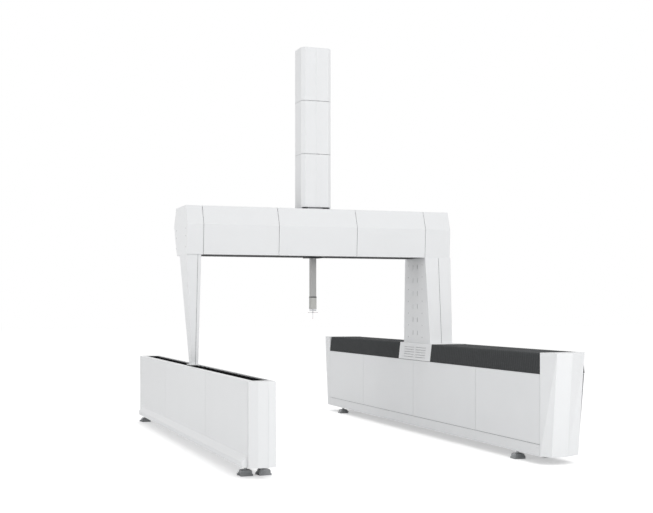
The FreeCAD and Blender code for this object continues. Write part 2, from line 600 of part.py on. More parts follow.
def carriage():
    span = (CARRIAGE_NEAR, CARRIAGE_FAR)
    path = bellows_path(SHEET)
    shell = prism_y(folded(path[::-1], SHEET), span)
    end_section = folded(path[::-1], SHEET + PLEAT_DEPTH + 6)
    for y in (span[0], span[1] - SHEET):
        shell = shell.fuse(prism_y(end_section, (y, y + SHEET)))
    frame_hole = box(COLUMN_FRAME_X, COLUMN_FRAME_Y, (SADDLE_TOP, CARRIAGE_TOP + 1))
    save("carriage_cover", louvred(shell.removeSplitter().cut(frame_hole)))

    half = SADDLE_LEG_DEPTH / 2
    stations = (CARRIAGE_MIDDLE - PAD_Y, CARRIAGE_MIDDLE + PAD_Y)
    top = box((GUIDE_IN - PAD_HEIGHT - SADDLE_LEG, RIGHT_OUT - BELLOWS_LEAN - 2 * PLEAT_DEPTH - SHEET),
              (CARRIAGE_NEAR + SADDLE_INSET, CARRIAGE_FAR - SADDLE_INSET),
              (GUIDE_TOP + PAD_HEIGHT, SADDLE_TOP))
    legs = []
    top_pads = []
    side_pads = []
    low = SADDLE_LEG_FOOT
    for y in stations:
        for side, wall in ((-1, GUIDE_IN), (1, GUIDE_OUT)):
            near_x = wall + side * PAD_HEIGHT
            far_x = near_x + side * SADDLE_LEG
            legs.append(box(sorted((near_x, far_x)), (y - half, y + half), (low, GUIDE_TOP + PAD_HEIGHT)))
            pad_start = (wall + side * AIR_GAP, y, (low + GUIDE_TOP) / 2)
            side_pads.append(cylinder(PAD_RADIUS * SIDE_PAD, pad_start, PAD_HEIGHT - AIR_GAP, (side, 0, 0)))
        for x in (GUIDE_IN + PAD_RADIUS + PAD_MARGIN, GUIDE_OUT - PAD_RADIUS - PAD_MARGIN):
            top_pads.append(cylinder(PAD_RADIUS, (x, y, GUIDE_TOP + AIR_GAP), PAD_HEIGHT - AIR_GAP))
    save("carriage_saddle", joined(top, *legs))
    save("carriage_air_pads", *(top_pads + side_pads))

    roller_x = DRIVE_BAR_X - AIR_GAP - Y_ROLLER_RADIUS
    foot = (roller_x, CARRIAGE_MIDDLE, DRIVE_BAR_Z + 2)
    save("y_drive_roller", cylinder(Y_ROLLER_RADIUS, foot, DRIVE_BAR[1] - 4).fuse(
        cylinder(10.0, foot, DRIVE_BAR[1] + 4)))
    motor_foot = DRIVE_BAR_Z + DRIVE_BAR[1] + 6 + AIR_GAP
    motor_length = GUIDE_TOP + PAD_HEIGHT - motor_foot
    save("y_drive_motor", cylinder(Y_MOTOR_RADIUS, (roller_x, CARRIAGE_MIDDLE, motor_foot), motor_length))

    frame = box(COLUMN_FRAME_X, COLUMN_FRAME_Y, (SADDLE_TOP, BEAM_BOTTOM))
    wall = COLUMN_FRAME_WALL
    hollow = box((COLUMN_FRAME_X[0] + wall, COLUMN_FRAME_X[1] - wall),
                 (COLUMN_FRAME_Y[0] + wall, COLUMN_FRAME_Y[1] - wall),
                 (SADDLE_TOP + wall, BEAM_BOTTOM - wall))
    save("column_frame", frame.cut(hollow))
    column_covers()


def column_covers():
    """Two half shells that meet at an open joint down the front and back."""
    z = (CARRIAGE_TOP, BEAM_BOTTOM)
    head_out = BEAM_RIGHT

    def shell(wall):
        foot = rectangle((COLUMN_IN + wall, COLUMN_OUT_BASE - wall),
                         (COLUMN_BASE[0] + wall, COLUMN_BASE[1] - wall))
        head = rectangle((COLUMN_IN + wall, head_out - wall), (COLUMN_HEAD[0] + wall, COLUMN_HEAD[1] - wall))
        return hopper(foot, head, z)

    room = shell(SHEET)
    whole = shell(0.0).cut(room)
    for level in (z[0], z[1] - 2 * SHEET):
        shelf = box((COLUMN_IN, head_out), COLUMN_BASE, (level, level + 2 * SHEET))
        whole = whole.fuse(shelf.common(room).cut(box(COLUMN_FRAME_X, COLUMN_FRAME_Y, z)))
    seam_foot = COLUMN_IN + COLUMN_SEAM * COLUMN_BASE_WIDTH
    seam_head = COLUMN_IN + COLUMN_SEAM * (head_out - COLUMN_IN)
    depth = (COLUMN_BASE[0] - 1, COLUMN_BASE[1] + 1)
    far = head_out + 1
    gap = COVER_GAP / 2
    outer_half = hopper(rectangle((seam_foot - gap, far), depth),
                        rectangle((seam_head - gap, far), depth), z)
    inner_half = hopper(rectangle((COLUMN_IN - 1, seam_foot + gap), depth),
                        rectangle((COLUMN_IN - 1, seam_head + gap), depth), z)
    vents = []
    for y in VENT_ROWS:
        for i in range(VENT_COUNT):
            middle = VENT_FIRST + i * VENT_PITCH
            vents.append(box((COLUMN_IN - 1, COLUMN_IN + SHEET + 1), around(y, VENT_SIZE[0]),
                             around(middle, VENT_SIZE[1])))
    save("column_covers", cut(whole.cut(outer_half), *vents), whole.cut(inner_half))


# --------------------------------------------------------------------- leg
def leg():
    z = (LEG_BASE_Z, BEAM_BOTTOM)

    def blade(wall, x_low, x_high):
        """The leg's outline between two limits in X, shrunk by a wall."""
        foot = rectangle((max(LEG_OUT_BASE + wall, x_low), min(LEG_IN_BASE - wall, x_high)),
                         (LEG_BASE_Y[0] + wall, LEG_BASE_Y[1] - wall))
        head = rectangle((max(BEAM_LEFT + wall, x_low), min(LEG_IN_HEAD - wall, x_high)),
                         (LEG_HEAD_Y[0] + wall, LEG_HEAD_Y[1] - wall))
        return hopper(foot, head, z)

    far = 10000.0
    inset = LEG_FRAME_INSET
    frame_outer = blade(inset, LEG_OUT_BASE + inset, far)
    frame_inner = blade(inset + LEG_FRAME_WALL, LEG_OUT_BASE + inset + LEG_FRAME_WALL, far)
    plate = box((BEAM_LEFT, LEG_IN_HEAD), LEG_HEAD_Y, (z[0], z[0] + LEG_FRAME_WALL))
    cap = box((BEAM_LEFT, LEG_IN_HEAD), LEG_HEAD_Y, (z[1] - LEG_FRAME_WALL, z[1]))
    frame = frame_outer.cut(frame_inner).fuse(frame_outer.common(plate)).fuse(frame_outer.common(cap))
    save("leg_frame", frame.removeSplitter())

    joint_gap = COVER_GAP / 2
    shell = blade(0.0, -far, far).cut(blade(SHEET, -far, far))
    for level in (z[0], z[1] - 2 * SHEET):
        shelf = box((BEAM_LEFT, LEG_IN_HEAD), LEG_HEAD_Y, (level, level + 2 * SHEET))
        shell = shell.fuse(shelf.common(blade(SHEET, -far, far)).cut(frame_outer))
    outer_limit = box((BEAM_LEFT - 1, LEG_JOINT_X - joint_gap), (-far, far), z)
    inner_limit = box((LEG_JOINT_X + joint_gap, far), (-far, far), z)
    save("leg_covers", shell.common(outer_limit), shell.common(inner_limit))

    half = LEG_SADDLE_LENGTH / 2
    length = (LEG_MIDDLE - half, LEG_MIDDLE + half)
    neck_x = (LEFT_IN - RIM - NECK_RIM_GAP - NECK_THICK, LEFT_IN - RIM - NECK_RIM_GAP)
    rail_x0 = LEFT_OUT + FRAME_INSET + 40
    slab_z = (LEFT_RAIL_TOP + LEG_PAD_HEIGHT, LEFT_RAIL_TOP + LEG_PAD_HEIGHT + LEG_SADDLE_THICK)
    slab = box((rail_x0, neck_x[1]), length, slab_z)
    plate_y = (LEG_MIDDLE - LEG_PLATE_LENGTH / 2, LEG_MIDDLE + LEG_PLATE_LENGTH / 2)
    neck = box(neck_x, plate_y, (slab_z[0], LEG_PLATE_Z))
    top = box((LEG_PLATE_OUT, neck_x[1]), plate_y, (LEG_PLATE_Z, LEG_BASE_Z))
    save("leg_saddle", joined(slab, neck, top))
    pads = []
    for y in (length[0] + PAD_RADIUS, length[1] - PAD_RADIUS):
        start = (rail_x0 + LEFT_RAIL_WIDTH / 2, y, LEFT_RAIL_TOP + AIR_GAP)
        pads.append(cylinder(PAD_RADIUS, start, LEG_PAD_HEIGHT - AIR_GAP))
    save("leg_air_pads", *pads)


# --------------------------------------------------------------- crossbeam
def beam_outline(wall=0.0):
    """Six-sided section of the beam as (y, z) points, shrunk by a wall."""
    ring = [(BEAM_FOOT_Y[0], BEAM_BOTTOM), (BEAM_FOOT_Y[1], BEAM_BOTTOM), (BEAM_FOLD_Y[1], BEAM_FOLD),
            (BEAM_TOP_Y[1], BEAM_TOP), (BEAM_TOP_Y[0], BEAM_TOP), (BEAM_FOLD_Y[0], BEAM_FOLD)]
    if wall == 0.0:
        return ring
    closed = folded([ring[-1]] + ring + [ring[0]], wall)
    return closed[len(ring) + 2:][::-1][1:-1]


def girder(profile, x):
    y = profile[:2]
    z = (profile[2], GIRDER_TOP)
    wall = GIRDER_WALL
    tube = box(x, y, z)
    return tube.cut(box((x[0] + wall, x[1] - wall), (y[0] + wall, y[1] - wall), (z[0] + wall, z[1] - wall)))


def bridge():
    x = (LEFT_BLOCK_X[0], BEAM_RIGHT - 4 * SHEET)
    ends = []
    for span in (LEFT_BLOCK_X, COLUMN_FRAME_X):
        block = box(span, (FRONT_GIRDER[1], REAR_GIRDER[0]), (BEAM_BOTTOM, GIRDER_TOP))
        wall = GIRDER_WALL
        room = box((span[0] + wall, span[1] - wall), (FRONT_GIRDER[1] + wall, REAR_GIRDER[0] - wall),
                   (BEAM_BOTTOM + wall, GIRDER_TOP - wall))
        ends.append(block.cut(room))
    frame = joined(girder(FRONT_GIRDER, x), girder(REAR_GIRDER, x), *ends)
    save("bridge_frame", frame)

    girders = (FRONT_GIRDER, REAR_GIRDER)
    solid_girders = [box((x[0] - 1, x[1] + 1), g[:2], (g[2], GIRDER_TOP)) for g in girders]
    rib_face = beam_outline(SHEET)
    ribs = []
    for start in (BEAM_SEAMS[0] - RIB_THICK - COVER_GAP, BEAM_SEAMS[3] + COVER_GAP):
        plate = prism_x(rib_face, (start, start + RIB_THICK))
        ribs.append(cut(plate, *solid_girders))
    for seam in BEAM_SEAMS[1:3]:
        for station in (seam - 2 * RIB_THICK - COVER_GAP, seam + COVER_GAP + RIB_THICK):
            plate = prism_x(rib_face, (station, station + RIB_THICK))
            low = BEAM_BOTTOM + 2 * X_BELLOWS_THICK
            for y in ((-1000.0, FRONT_GIRDER[0]), (REAR_GIRDER[1], 1000.0)):
                part = plate.common(box((station - 1, station + RIB_THICK + 1), y, (low, GIRDER_TOP)))
                ribs.append(part)
    save("beam_ribs", *ribs)
    beam_covers()


def beam_covers():
    foot, fold, top = BEAM_FOOT_Y, BEAM_FOLD_Y, BEAM_TOP_Y
    front = [(foot[0] + 10, BEAM_BOTTOM), (foot[0], BEAM_BOTTOM), (fold[0], BEAM_FOLD), (top[0], BEAM_TOP),
             (SLOT_Y[0], BEAM_TOP)]
    rear = [(SLOT_Y[1], BEAM_TOP), (top[1], BEAM_TOP), (fold[1], BEAM_FOLD), (foot[1], BEAM_BOTTOM),
            (foot[1] - 10, BEAM_BOTTOM)]
    half = COVER_GAP / 2
    spans = [(low + half, high - half) for low, high in zip(BEAM_SEAMS, BEAM_SEAMS[1:])]
    save("beam_front_covers", *[prism_x(folded(front[::-1], SHEET), span) for span in spans])
    save("beam_rear_covers", *[prism_x(folded(rear[::-1], SHEET), span) for span in spans])

    caps = []
    left_span = (BEAM_LEFT, BEAM_SEAMS[0] - half)
    right_span = (BEAM_SEAMS[3] + half, BEAM_RIGHT)
    for span, room_x, block_x in (
            (left_span, (BEAM_LEFT + SHEET, left_span[1] + 1), LEFT_BLOCK_X),
            (right_span, (right_span[0] - 1, BEAM_RIGHT - SHEET), COLUMN_FRAME_X)):
        shell = prism_x(beam_outline(), span).cut(prism_x(beam_outline(SHEET), room_x))
        hole = box(block_x, (FRONT_GIRDER[1], REAR_GIRDER[0]), (BEAM_BOTTOM - 1, BEAM_BOTTOM + SHEET + 1))
        caps.append(shell.cut(hole))
    save("beam_end_caps", *caps)


def x_bellows():
    """Four flat bellows that close the beam's top slot and its open underside."""
    lower_z = BEAM_BOTTOM + SHEET
    lower_y = (BEAM_FOOT_Y[0] + 3 * SHEET, BEAM_FOOT_Y[1] - 3 * SHEET)
    upper_z = BEAM_TOP - SHEET - X_BELLOWS_THICK
    depth = X_BELLOWS_THICK - PLEAT_SKIN

    def strip(y, z, span):
        path = [(y[0] + SLOT_CLEARANCE, z), (y[1] - SLOT_CLEARANCE, z)]
        return pleated(path, PLEAT_SKIN, depth, span, lambda p, s: V(s, p[0], p[1]))

    save("x_bellows_left", strip(lower_y, lower_z, (BELLOWS_ENDS[0], EXIT_X[0])),
         strip(SLOT_Y, upper_z, (BELLOWS_ENDS[0], MAST_X[0])))
    save("x_bellows_right", strip(lower_y, lower_z, (EXIT_X[1], BELLOWS_ENDS[1])),
         strip(SLOT_Y, upper_z, (MAST_X[1], BELLOWS_ENDS[1])))


# ------------------------------------------------- X carriage and Z column
def x_carriage():
    cx, cy = COLUMN_Z_X, COLUMN_Z_Y
    housing_x, housing_y = around(cx, HOUSING), around(cy, HOUSING)
    saddle = box(around(cx, X_SADDLE[0]), X_SADDLE_Y, (X_SADDLE_Z, X_SADDLE_Z + X_SADDLE[1]))
    saddle = saddle.cut(box(housing_x, housing_y, INNER_Z))
    arms = []
    side_pads = []
    top_pads = []
    for dx in (-X_PAD_X, X_PAD_X):
        x = cx + dx
        for side, wall in ((1, FRONT_GIRDER[1]), (-1, REAR_GIRDER[0])):
            near_y = wall + side * X_PAD_HEIGHT
            far_y = near_y + side * GUIDE_ARM[1]
            arms.append(box(around(x, GUIDE_ARM[0]), sorted((near_y, far_y)),
                            (X_SADDLE_Z - GUIDE_ARM[2], X_SADDLE_Z)))
            start = (x, wall + side * AIR_GAP, X_SADDLE_Z - GUIDE_ARM[2] + 80)
            side_pads.append(cylinder(GUIDE_ARM[0] / 2 - 4, start, X_PAD_HEIGHT - AIR_GAP, (0, side, 0)))
        for profile in (FRONT_GIRDER, REAR_GIRDER):
            start = (x, (profile[0] + profile[1]) / 2, GIRDER_TOP + AIR_GAP)
            top_pads.append(cylinder(X_PAD_RADIUS, start, X_PAD_HEIGHT - AIR_GAP))
    save("x_saddle", joined(saddle, *arms))
    save("x_air_pads", *(top_pads + side_pads))

    wall = HOUSING_WALL
    tube = box(housing_x, housing_y, (BEAM_BOTTOM + SHEET, HOUSING_TOP))
    bore = box(around(cx, HOUSING - 2 * wall), around(cy, HOUSING - 2 * wall), INNER_Z)
    save("z_guide_housing", tube.cut(bore))
    bearings = []
    for foot in (BEAM_BOTTOM + 5 * SHEET, HOUSING_TOP - BEARING_HEIGHT):
        block = box(around(cx, HOUSING - 2 * wall), around(cy, HOUSING - 2 * wall),
                    (foot, foot + BEARING_HEIGHT))
        passage = box(around(cx, RAM + 2 * AIR_GAP), around(cy, RAM + 2 * AIR_GAP), INNER_Z)
        bearings.append(block.cut(passage))
    save("z_ram_bearings", *bearings)

    mast_foot = X_SADDLE_Z + X_SADDLE[1]
    mast_top = Z_COVER_TOP - SHEET
    sides = []
    for x in ((MAST_X[0], MAST_X[0] + MAST_PLATE), (MAST_X[1] - MAST_PLATE, MAST_X[1])):
        sides.append(box(x, MAST_Y, (mast_foot, mast_top)))
    lid = box(MAST_X, MAST_Y, (mast_top - MAST_PLATE, mast_top))
    floor = box(MAST_X, MAST_Y, (HOUSING_TOP - MAST_PLATE, HOUSING_TOP))
    floor = floor.cut(box(housing_x, housing_y, INNER_Z))
    plate_x = MAST_X[1] - MAST_PLATE
    wheel_x = cx + PULLEY_X - BELT[0] / 2
    axle = cylinder(AXLE_RADIUS, (wheel_x - AXLE_RADIUS / 2, cy, PULLEY_LOW),
                    plate_x - wheel_x + AXLE_RADIUS / 2, (1, 0, 0))
    save("z_mast", joined(sides[0], sides[1], lid, floor, axle))
    z_covers()

    plate_y = (BEAM_FOOT_Y[0] + 3 * SHEET, BEAM_FOOT_Y[1] - 3 * SHEET)
    plate = box(EXIT_X, plate_y, (BEAM_BOTTOM + SHEET, BEAM_BOTTOM + SHEET + X_BELLOWS_THICK))
    flange = box(around(cx, EXIT_FLANGE[0]), around(cy, EXIT_FLANGE[0]),
                 (BEAM_BOTTOM + SHEET - EXIT_FLANGE[1], BEAM_BOTTOM + SHEET))
    passage = RAM + 4 * SHEET
    flange = flange.cut(box(around(cx, passage), around(cy, passage), INNER_Z))
    save("exit_plate", joined(plate.cut(box(housing_x, housing_y, INNER_Z)), flange))
    x_drive()


def z_covers():
    """Three equal cover segments, each a chamfered tube with a raised front strip."""
    cx, cy = COLUMN_Z_X, COLUMN_Z_Y
    x, y = around(cx, Z_COVER[0]), around(cy, Z_COVER[1])
    c = Z_COVER_CORNER

    def ring(wall):
        x0, x1, y0, y1 = x[0] + wall, x[1] - wall, y[0] + wall, y[1] - wall
        k = c - wall * (2 - math.sqrt(2))
        return [(x0 + k, y0), (x1 - k, y0), (x1, y0 + k), (x1, y1 - k), (x1 - k, y1), (x0 + k, y1),
                (x0, y1 - k), (x0, y0 + k)]

    step = (Z_COVER_TOP - Z_COVER_FOOT) / Z_COVER_COUNT
    covers = []
    for i in range(Z_COVER_COUNT):
        foot = Z_COVER_FOOT + i * step
        last = i == Z_COVER_COUNT - 1
        head = foot + step - (0.0 if last else COVER_GAP)
        tube = prism_z(ring(0.0), (foot, head))
        room_top = head - SHEET if last else head + 1
        tube = tube.cut(prism_z(ring(SHEET), (foot - 1, room_top)))
        start = cx + Z_STRIP[0]
        strip = box((start, start + Z_STRIP[1]), (y[0] - Z_STRIP[2], y[0]),
                    (foot + COVER_GAP, head - COVER_GAP))
        covers.append(joined(tube, strip))
    save("z_covers", *covers)


def x_drive():
    """Friction drive: a bar under the front girder's inner edge and a roller on the saddle."""
    bar_y = (FRONT_GIRDER[1], FRONT_GIRDER[1] + X_BAR[0])
    bar_z = (FRONT_GIRDER[2] + 60, FRONT_GIRDER[2] + 60 + X_BAR[1])
    save("x_drive_bar", box(BELLOWS_ENDS, bar_y, bar_z))
    roller_y = bar_y[1] + AIR_GAP + X_ROLLER_RADIUS
    x = COLUMN_Z_X - HOUSING / 2 + X_ROLLER_RADIUS
    axle = cylinder(8.0, (x, roller_y, bar_z[0] + 2), X_BAR[1] + 2)
    save("x_drive_roller", cylinder(X_ROLLER_RADIUS, (x, roller_y, bar_z[0] + 2), X_BAR[1] - 4).fuse(axle))
    motor_foot = bar_z[1] + 4 + AIR_GAP
    motor_head = motor_foot + X_MOTOR_LENGTH
    motor = cylinder(X_MOTOR_RADIUS, (x, roller_y, motor_foot), X_MOTOR_LENGTH)
    reach = (roller_y - X_MOTOR_RADIUS, COLUMN_Z_Y - HOUSING / 2)
    bracket = box(around(x, 2 * X_MOTOR_RADIUS), reach, (motor_head, motor_head + HOUSING_WALL))
    save("x_drive_motor", motor, bracket)
    save("x_scale", box(BELLOWS_ENDS, (REAR_GIRDER[0] - SCALE_THICK, REAR_GIRDER[0]),
                        (GIRDER_TOP - X_SCALE_DROP, GIRDER_TOP - X_SCALE_DROP + SCALE_HEIGHT)))


# ----------------------------------------------------------- ram and drive
def z_drive():
    """Belt loop beside the ram, two pulleys, and a gearmotor on the upper one."""
    cx, cy = COLUMN_Z_X, COLUMN_Z_Y
    belt_x = (cx + PULLEY_X - BELT[0] / 2, cx + PULLEY_X + BELT[0] / 2)

    def loop(radius):
        low = cylinder(radius, (belt_x[0], cy, PULLEY_LOW), BELT[0], (1, 0, 0))
        high = cylinder(radius, (belt_x[0], cy, PULLEY_HIGH), BELT[0], (1, 0, 0))
        middle = box(belt_x, (cy - radius, cy + radius), (PULLEY_LOW, PULLEY_HIGH))
        return joined(low, high, middle)

    save("z_belt", loop(PULLEY_RADIUS + BELT[1]).cut(loop(PULLEY_RADIUS)))
    for name, z in (("z_lower_pulley", PULLEY_LOW), ("z_upper_pulley", PULLEY_HIGH)):
        wheel = cylinder(PULLEY_RADIUS - AIR_GAP, (belt_x[0], cy, z), BELT[0], (1, 0, 0))
        save(name, wheel.cut(cylinder(AXLE_RADIUS + AXLE_FIT, (cx, cy, z), HOUSING, (1, 0, 0))))
    plate_x = MAST_X[1] - MAST_PLATE
    motor = box((belt_x[1] + BELT[1], plate_x), around(cy, Z_MOTOR), around(PULLEY_HIGH, Z_MOTOR))
    shaft = cylinder(AXLE_RADIUS, (belt_x[0] - AXLE_RADIUS / 2, cy, PULLEY_HIGH), 2 * BELT[0], (1, 0, 0))
    save("z_motor", joined(motor, shaft))


def ram():
    cx, cy = COLUMN_Z_X, COLUMN_Z_Y
    tube = box(around(cx, RAM), around(cy, RAM), (RAM_FOOT, RAM_TOP))
    bore = RAM - 2 * RAM_WALL
    hollow = box(around(cx, bore), around(cy, bore), (RAM_FOOT + RAM_WALL, RAM_TOP + 1))
    clamp_y = cy - PULLEY_RADIUS - BELT[1] - AIR_GAP
    clamp = box((cx + RAM / 2 - CLAMP[1], cx + PULLEY_X + BELT[0] / 2), (clamp_y - CLAMP[1], clamp_y),
                (RAM_TOP - CLAMP_DROP - CLAMP[0], RAM_TOP - CLAMP_DROP))
    web = box((cx + RAM / 2, cx + RAM / 2 + CLAMP[1]), (clamp_y - CLAMP[1], cy + RAM / 4),
              (RAM_TOP - CLAMP_DROP - CLAMP[0], RAM_TOP - CLAMP_DROP))
    save("ram", joined(tube.cut(hollow), clamp.cut(tube), web))
    save("ram_end_ring", box(around(cx, RAM_RING[0]), around(cy, RAM_RING[0]), (HEAD_TOP, RAM_FOOT)))

    shell = box(around(cx, HEAD), around(cy, HEAD), (HEAD_FOOT, HEAD_TOP))
    shell = shell.makeChamfer(6.0, [e for e in shell.Edges if abs(e.Vertexes[0].Z - e.Vertexes[1].Z) > 1])
    room = box(around(cx, HEAD - 2 * HEAD_WALL), around(cy, HEAD - 2 * HEAD_WALL),
               (HEAD_FOOT + HEAD_WALL, HEAD_TOP - HEAD_WALL))
    mouth = cylinder(STEM_HOLE, (cx, cy, HEAD_FOOT - 1), HEAD_WALL + 2)
    save("probe_head", cut(shell, room, mouth))

    y_stage_z = (Y_STAGE_TOP - STAGE_HEIGHT, Y_STAGE_TOP)
    save("probe_y_stage", box(around(cx, STAGE), around(cy, STAGE), y_stage_z))
    x_stage = box(around(cx, STAGE), around(cy, STAGE), (X_STAGE_FOOT, X_STAGE_TOP))
    blind = cylinder(STEM_RADIUS + 0.05, (cx, cy, X_STAGE_FOOT - 1), STAGE_HEIGHT - 6)
    save("probe_x_stage", x_stage.cut(blind))
    stem_top = X_STAGE_FOOT + STAGE_HEIGHT - 12
    stem = cylinder(STEM_RADIUS, (cx, cy, ADAPTER_TOP), stem_top - ADAPTER_TOP)
    plate = box(around(cx, ADAPTER[0]), around(cy, ADAPTER[0]), (ADAPTER_TOP - ADAPTER[1], ADAPTER_TOP))
    plate = plate.makeChamfer(12.0, [e for e in plate.Edges if abs(e.Vertexes[0].Z - e.Vertexes[1].Z) > 1])
    save("stylus_adapter", joined(plate, stem))
    stylus()


def stylus():
    cx, cy = COLUMN_Z_X, COLUMN_Z_Y
    cube = box(around(cx, STYLUS_CUBE), around(cy, STYLUS_CUBE), around(STAR_Z, STYLUS_CUBE))
    top = ADAPTER_TOP - ADAPTER[1]
    post = cylinder(STYLUS_RADIUS * 2, (cx, cy, STAR_Z), top - STAR_Z)
    solids = [cube, post]
    balls = []
    for dx, dy in ((1, 0), (-1, 0), (0, 1), (0, -1)):
        solids.append(cylinder(STYLUS_RADIUS, (cx, cy, STAR_Z), STAR_REACH - STYLUS_BALL, (dx, dy, 0)))
        balls.append(Part.makeSphere(STYLUS_BALL, V(cx + dx * (STAR_REACH - STYLUS_BALL),
                                                    cy + dy * (STAR_REACH - STYLUS_BALL), STAR_Z)))
    solids.append(cylinder(STYLUS_RADIUS, (cx, cy, TIP_Z + STYLUS_BALL), STAR_Z - TIP_Z - STYLUS_BALL))
    balls.append(Part.makeSphere(STYLUS_BALL, V(cx, cy, TIP_Z + STYLUS_BALL)))
    stems = joined(*solids)
    save("stylus_stems", cut(stems, *balls))
    save("stylus_balls", *balls)


left_runway()
right_runway()
levelling_feet()
carriage()
leg()
bridge()
x_bellows()
x_carriage()
z_drive()
ram()
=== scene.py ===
# %% [markdown]
# # A gantry measuring machine
# The machine has two long raised runways, a driven column on one of them, a thin leg on the
# other, and a crossbeam that carries a tall column with a square ram and a probe.
# The exact solids come from CAD. They are loaded first as a fixed frame, and everything made
# here is placed from that frame, in metres, with the floor at height 0.

# %% Load the frame
import json
import math

import bmesh
import bpy
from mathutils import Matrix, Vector
from mathutils.bvhtree import BVHTree


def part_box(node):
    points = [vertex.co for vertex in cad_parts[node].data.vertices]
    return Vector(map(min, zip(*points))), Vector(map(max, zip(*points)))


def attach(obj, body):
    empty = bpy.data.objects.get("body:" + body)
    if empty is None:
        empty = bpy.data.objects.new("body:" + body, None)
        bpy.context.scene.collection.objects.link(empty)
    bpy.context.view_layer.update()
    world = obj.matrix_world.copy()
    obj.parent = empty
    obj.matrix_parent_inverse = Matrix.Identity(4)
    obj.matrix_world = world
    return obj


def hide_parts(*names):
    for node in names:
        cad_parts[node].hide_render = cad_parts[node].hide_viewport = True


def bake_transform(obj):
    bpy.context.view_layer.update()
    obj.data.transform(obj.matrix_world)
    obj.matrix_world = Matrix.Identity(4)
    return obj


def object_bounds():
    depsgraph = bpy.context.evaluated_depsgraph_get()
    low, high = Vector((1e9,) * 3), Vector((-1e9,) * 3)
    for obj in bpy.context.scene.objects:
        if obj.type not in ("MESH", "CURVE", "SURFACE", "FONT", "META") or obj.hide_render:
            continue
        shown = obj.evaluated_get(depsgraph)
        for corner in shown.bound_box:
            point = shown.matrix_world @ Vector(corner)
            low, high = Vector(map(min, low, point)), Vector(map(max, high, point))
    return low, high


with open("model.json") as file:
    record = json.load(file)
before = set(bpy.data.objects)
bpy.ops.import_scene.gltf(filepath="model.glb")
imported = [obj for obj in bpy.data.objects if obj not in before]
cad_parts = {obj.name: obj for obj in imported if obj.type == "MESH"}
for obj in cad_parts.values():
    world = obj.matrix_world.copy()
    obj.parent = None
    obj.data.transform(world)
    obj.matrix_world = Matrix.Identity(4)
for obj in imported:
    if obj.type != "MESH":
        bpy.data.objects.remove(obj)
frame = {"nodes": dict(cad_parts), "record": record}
cad_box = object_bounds()
nodes = frame["nodes"]
print("nodes:", len(nodes), "box:", [round(v, 3) for corner in cad_box for v in corner])

# %% [markdown]
# ## The camera
# The machine is seen from low in front and a little to the left. The camera is level, so that
# upright edges stay upright, and the lens is shifted up instead of tilted.

# %% Camera
camera_data = bpy.data.cameras.new("camera")
camera_data.sensor_width = 36.0
camera_data.lens = 62.74
camera_data.shift_y = 0.0763
camera_data.clip_end = 300.0
camera = bpy.data.objects.new("camera", camera_data)
camera.location = (-6.180, -18.318, 2.197)
camera.rotation_euler = (math.radians(90.0), 0.0, math.radians(-19.1))
bpy.context.collection.objects.link(camera)
bpy.context.scene.camera = camera
bpy.context.scene.view_settings.view_transform = "Standard"
print("camera lens", camera_data.lens)

# %% [markdown]
# ## Node helpers
# Every shader and every Geometry Nodes tree below is built in code. Two small helpers keep
# that readable: one adds a node with its settings and inputs, and one makes a group's sockets.


# %% Node helpers
def add(tree, kind, inputs=None, **settings):
    """Adds a node. An input may be a plain value or another node's output socket."""
    node = tree.nodes.new(kind)
    for name, value in settings.items():
        setattr(node, name, value)
    for name, value in (inputs or {}).items():
        if isinstance(value, bpy.types.NodeSocket):
            tree.links.new(value, node.inputs[name])
        else:
            node.inputs[name].default_value = value
    return node


def new_group(title, kind, inputs, outputs):
    """Node group with named sockets, given as (name, socket type, value)."""
    tree = bpy.data.node_groups.new(title, kind)
    for name, socket, value in inputs:
        made = tree.interface.new_socket(name, in_out="INPUT", socket_type=socket)
        if value is not None:
            made.default_value = value
    for name, socket in outputs:
        tree.interface.new_socket(name, in_out="OUTPUT", socket_type=socket)
    return tree, tree.nodes.new("NodeGroupInput").outputs, tree.nodes.new("NodeGroupOutput")


FLOAT, VECTOR, COLOUR = "NodeSocketFloat", "NodeSocketVector", "NodeSocketColor"
print("helpers ready")

# %% [markdown]
# ## Effects that several finishes share
# Powder coat has a fine orange-peel skin, every large panel is a little uneven in tone, dust
# settles on what faces up, and bare or dark metal is worn bright along its edges. Each effect
# is one node group, so that every material can have it with its own strength and scale.

# %% Effect: coat skin and uneven tone
coat_skin, given, result = new_group(
    "coat skin", "ShaderNodeTree",
    [("Colour", COLOUR, (1, 1, 1, 1)), ("Cells per metre", FLOAT, 420.0),
     ("Drift", FLOAT, 0.03)],
    [("Colour", COLOUR), ("Height", FLOAT), ("Patch", FLOAT)])
place = add(coat_skin, "ShaderNodeTexCoord").outputs["Object"]
peel = add(coat_skin, "ShaderNodeTexNoise",
           {"Vector": place, "Scale": given["Cells per metre"], "Detail": 2.0, "Roughness": 0.4})
patch = add(coat_skin, "ShaderNodeTexNoise",
            {"Vector": place, "Scale": 1.7, "Detail": 3.0, "Roughness": 0.55})
away = add(coat_skin, "ShaderNodeMath", {0: patch.outputs["Fac"], 1: 0.5}, operation="SUBTRACT")
gain = add(coat_skin, "ShaderNodeMath", {0: away.outputs[0], 1: given["Drift"], 2: 1.0},
           operation="MULTIPLY_ADD")
tone = add(coat_skin, "ShaderNodeVectorMath", {0: given["Colour"], "Scale": gain.outputs[0]},
           operation="SCALE")
coat_skin.links.new(tone.outputs[0], result.inputs["Colour"])
coat_skin.links.new(peel.outputs["Fac"], result.inputs["Height"])
coat_skin.links.new(patch.outputs["Fac"], result.inputs["Patch"])
print("group:", coat_skin.name)

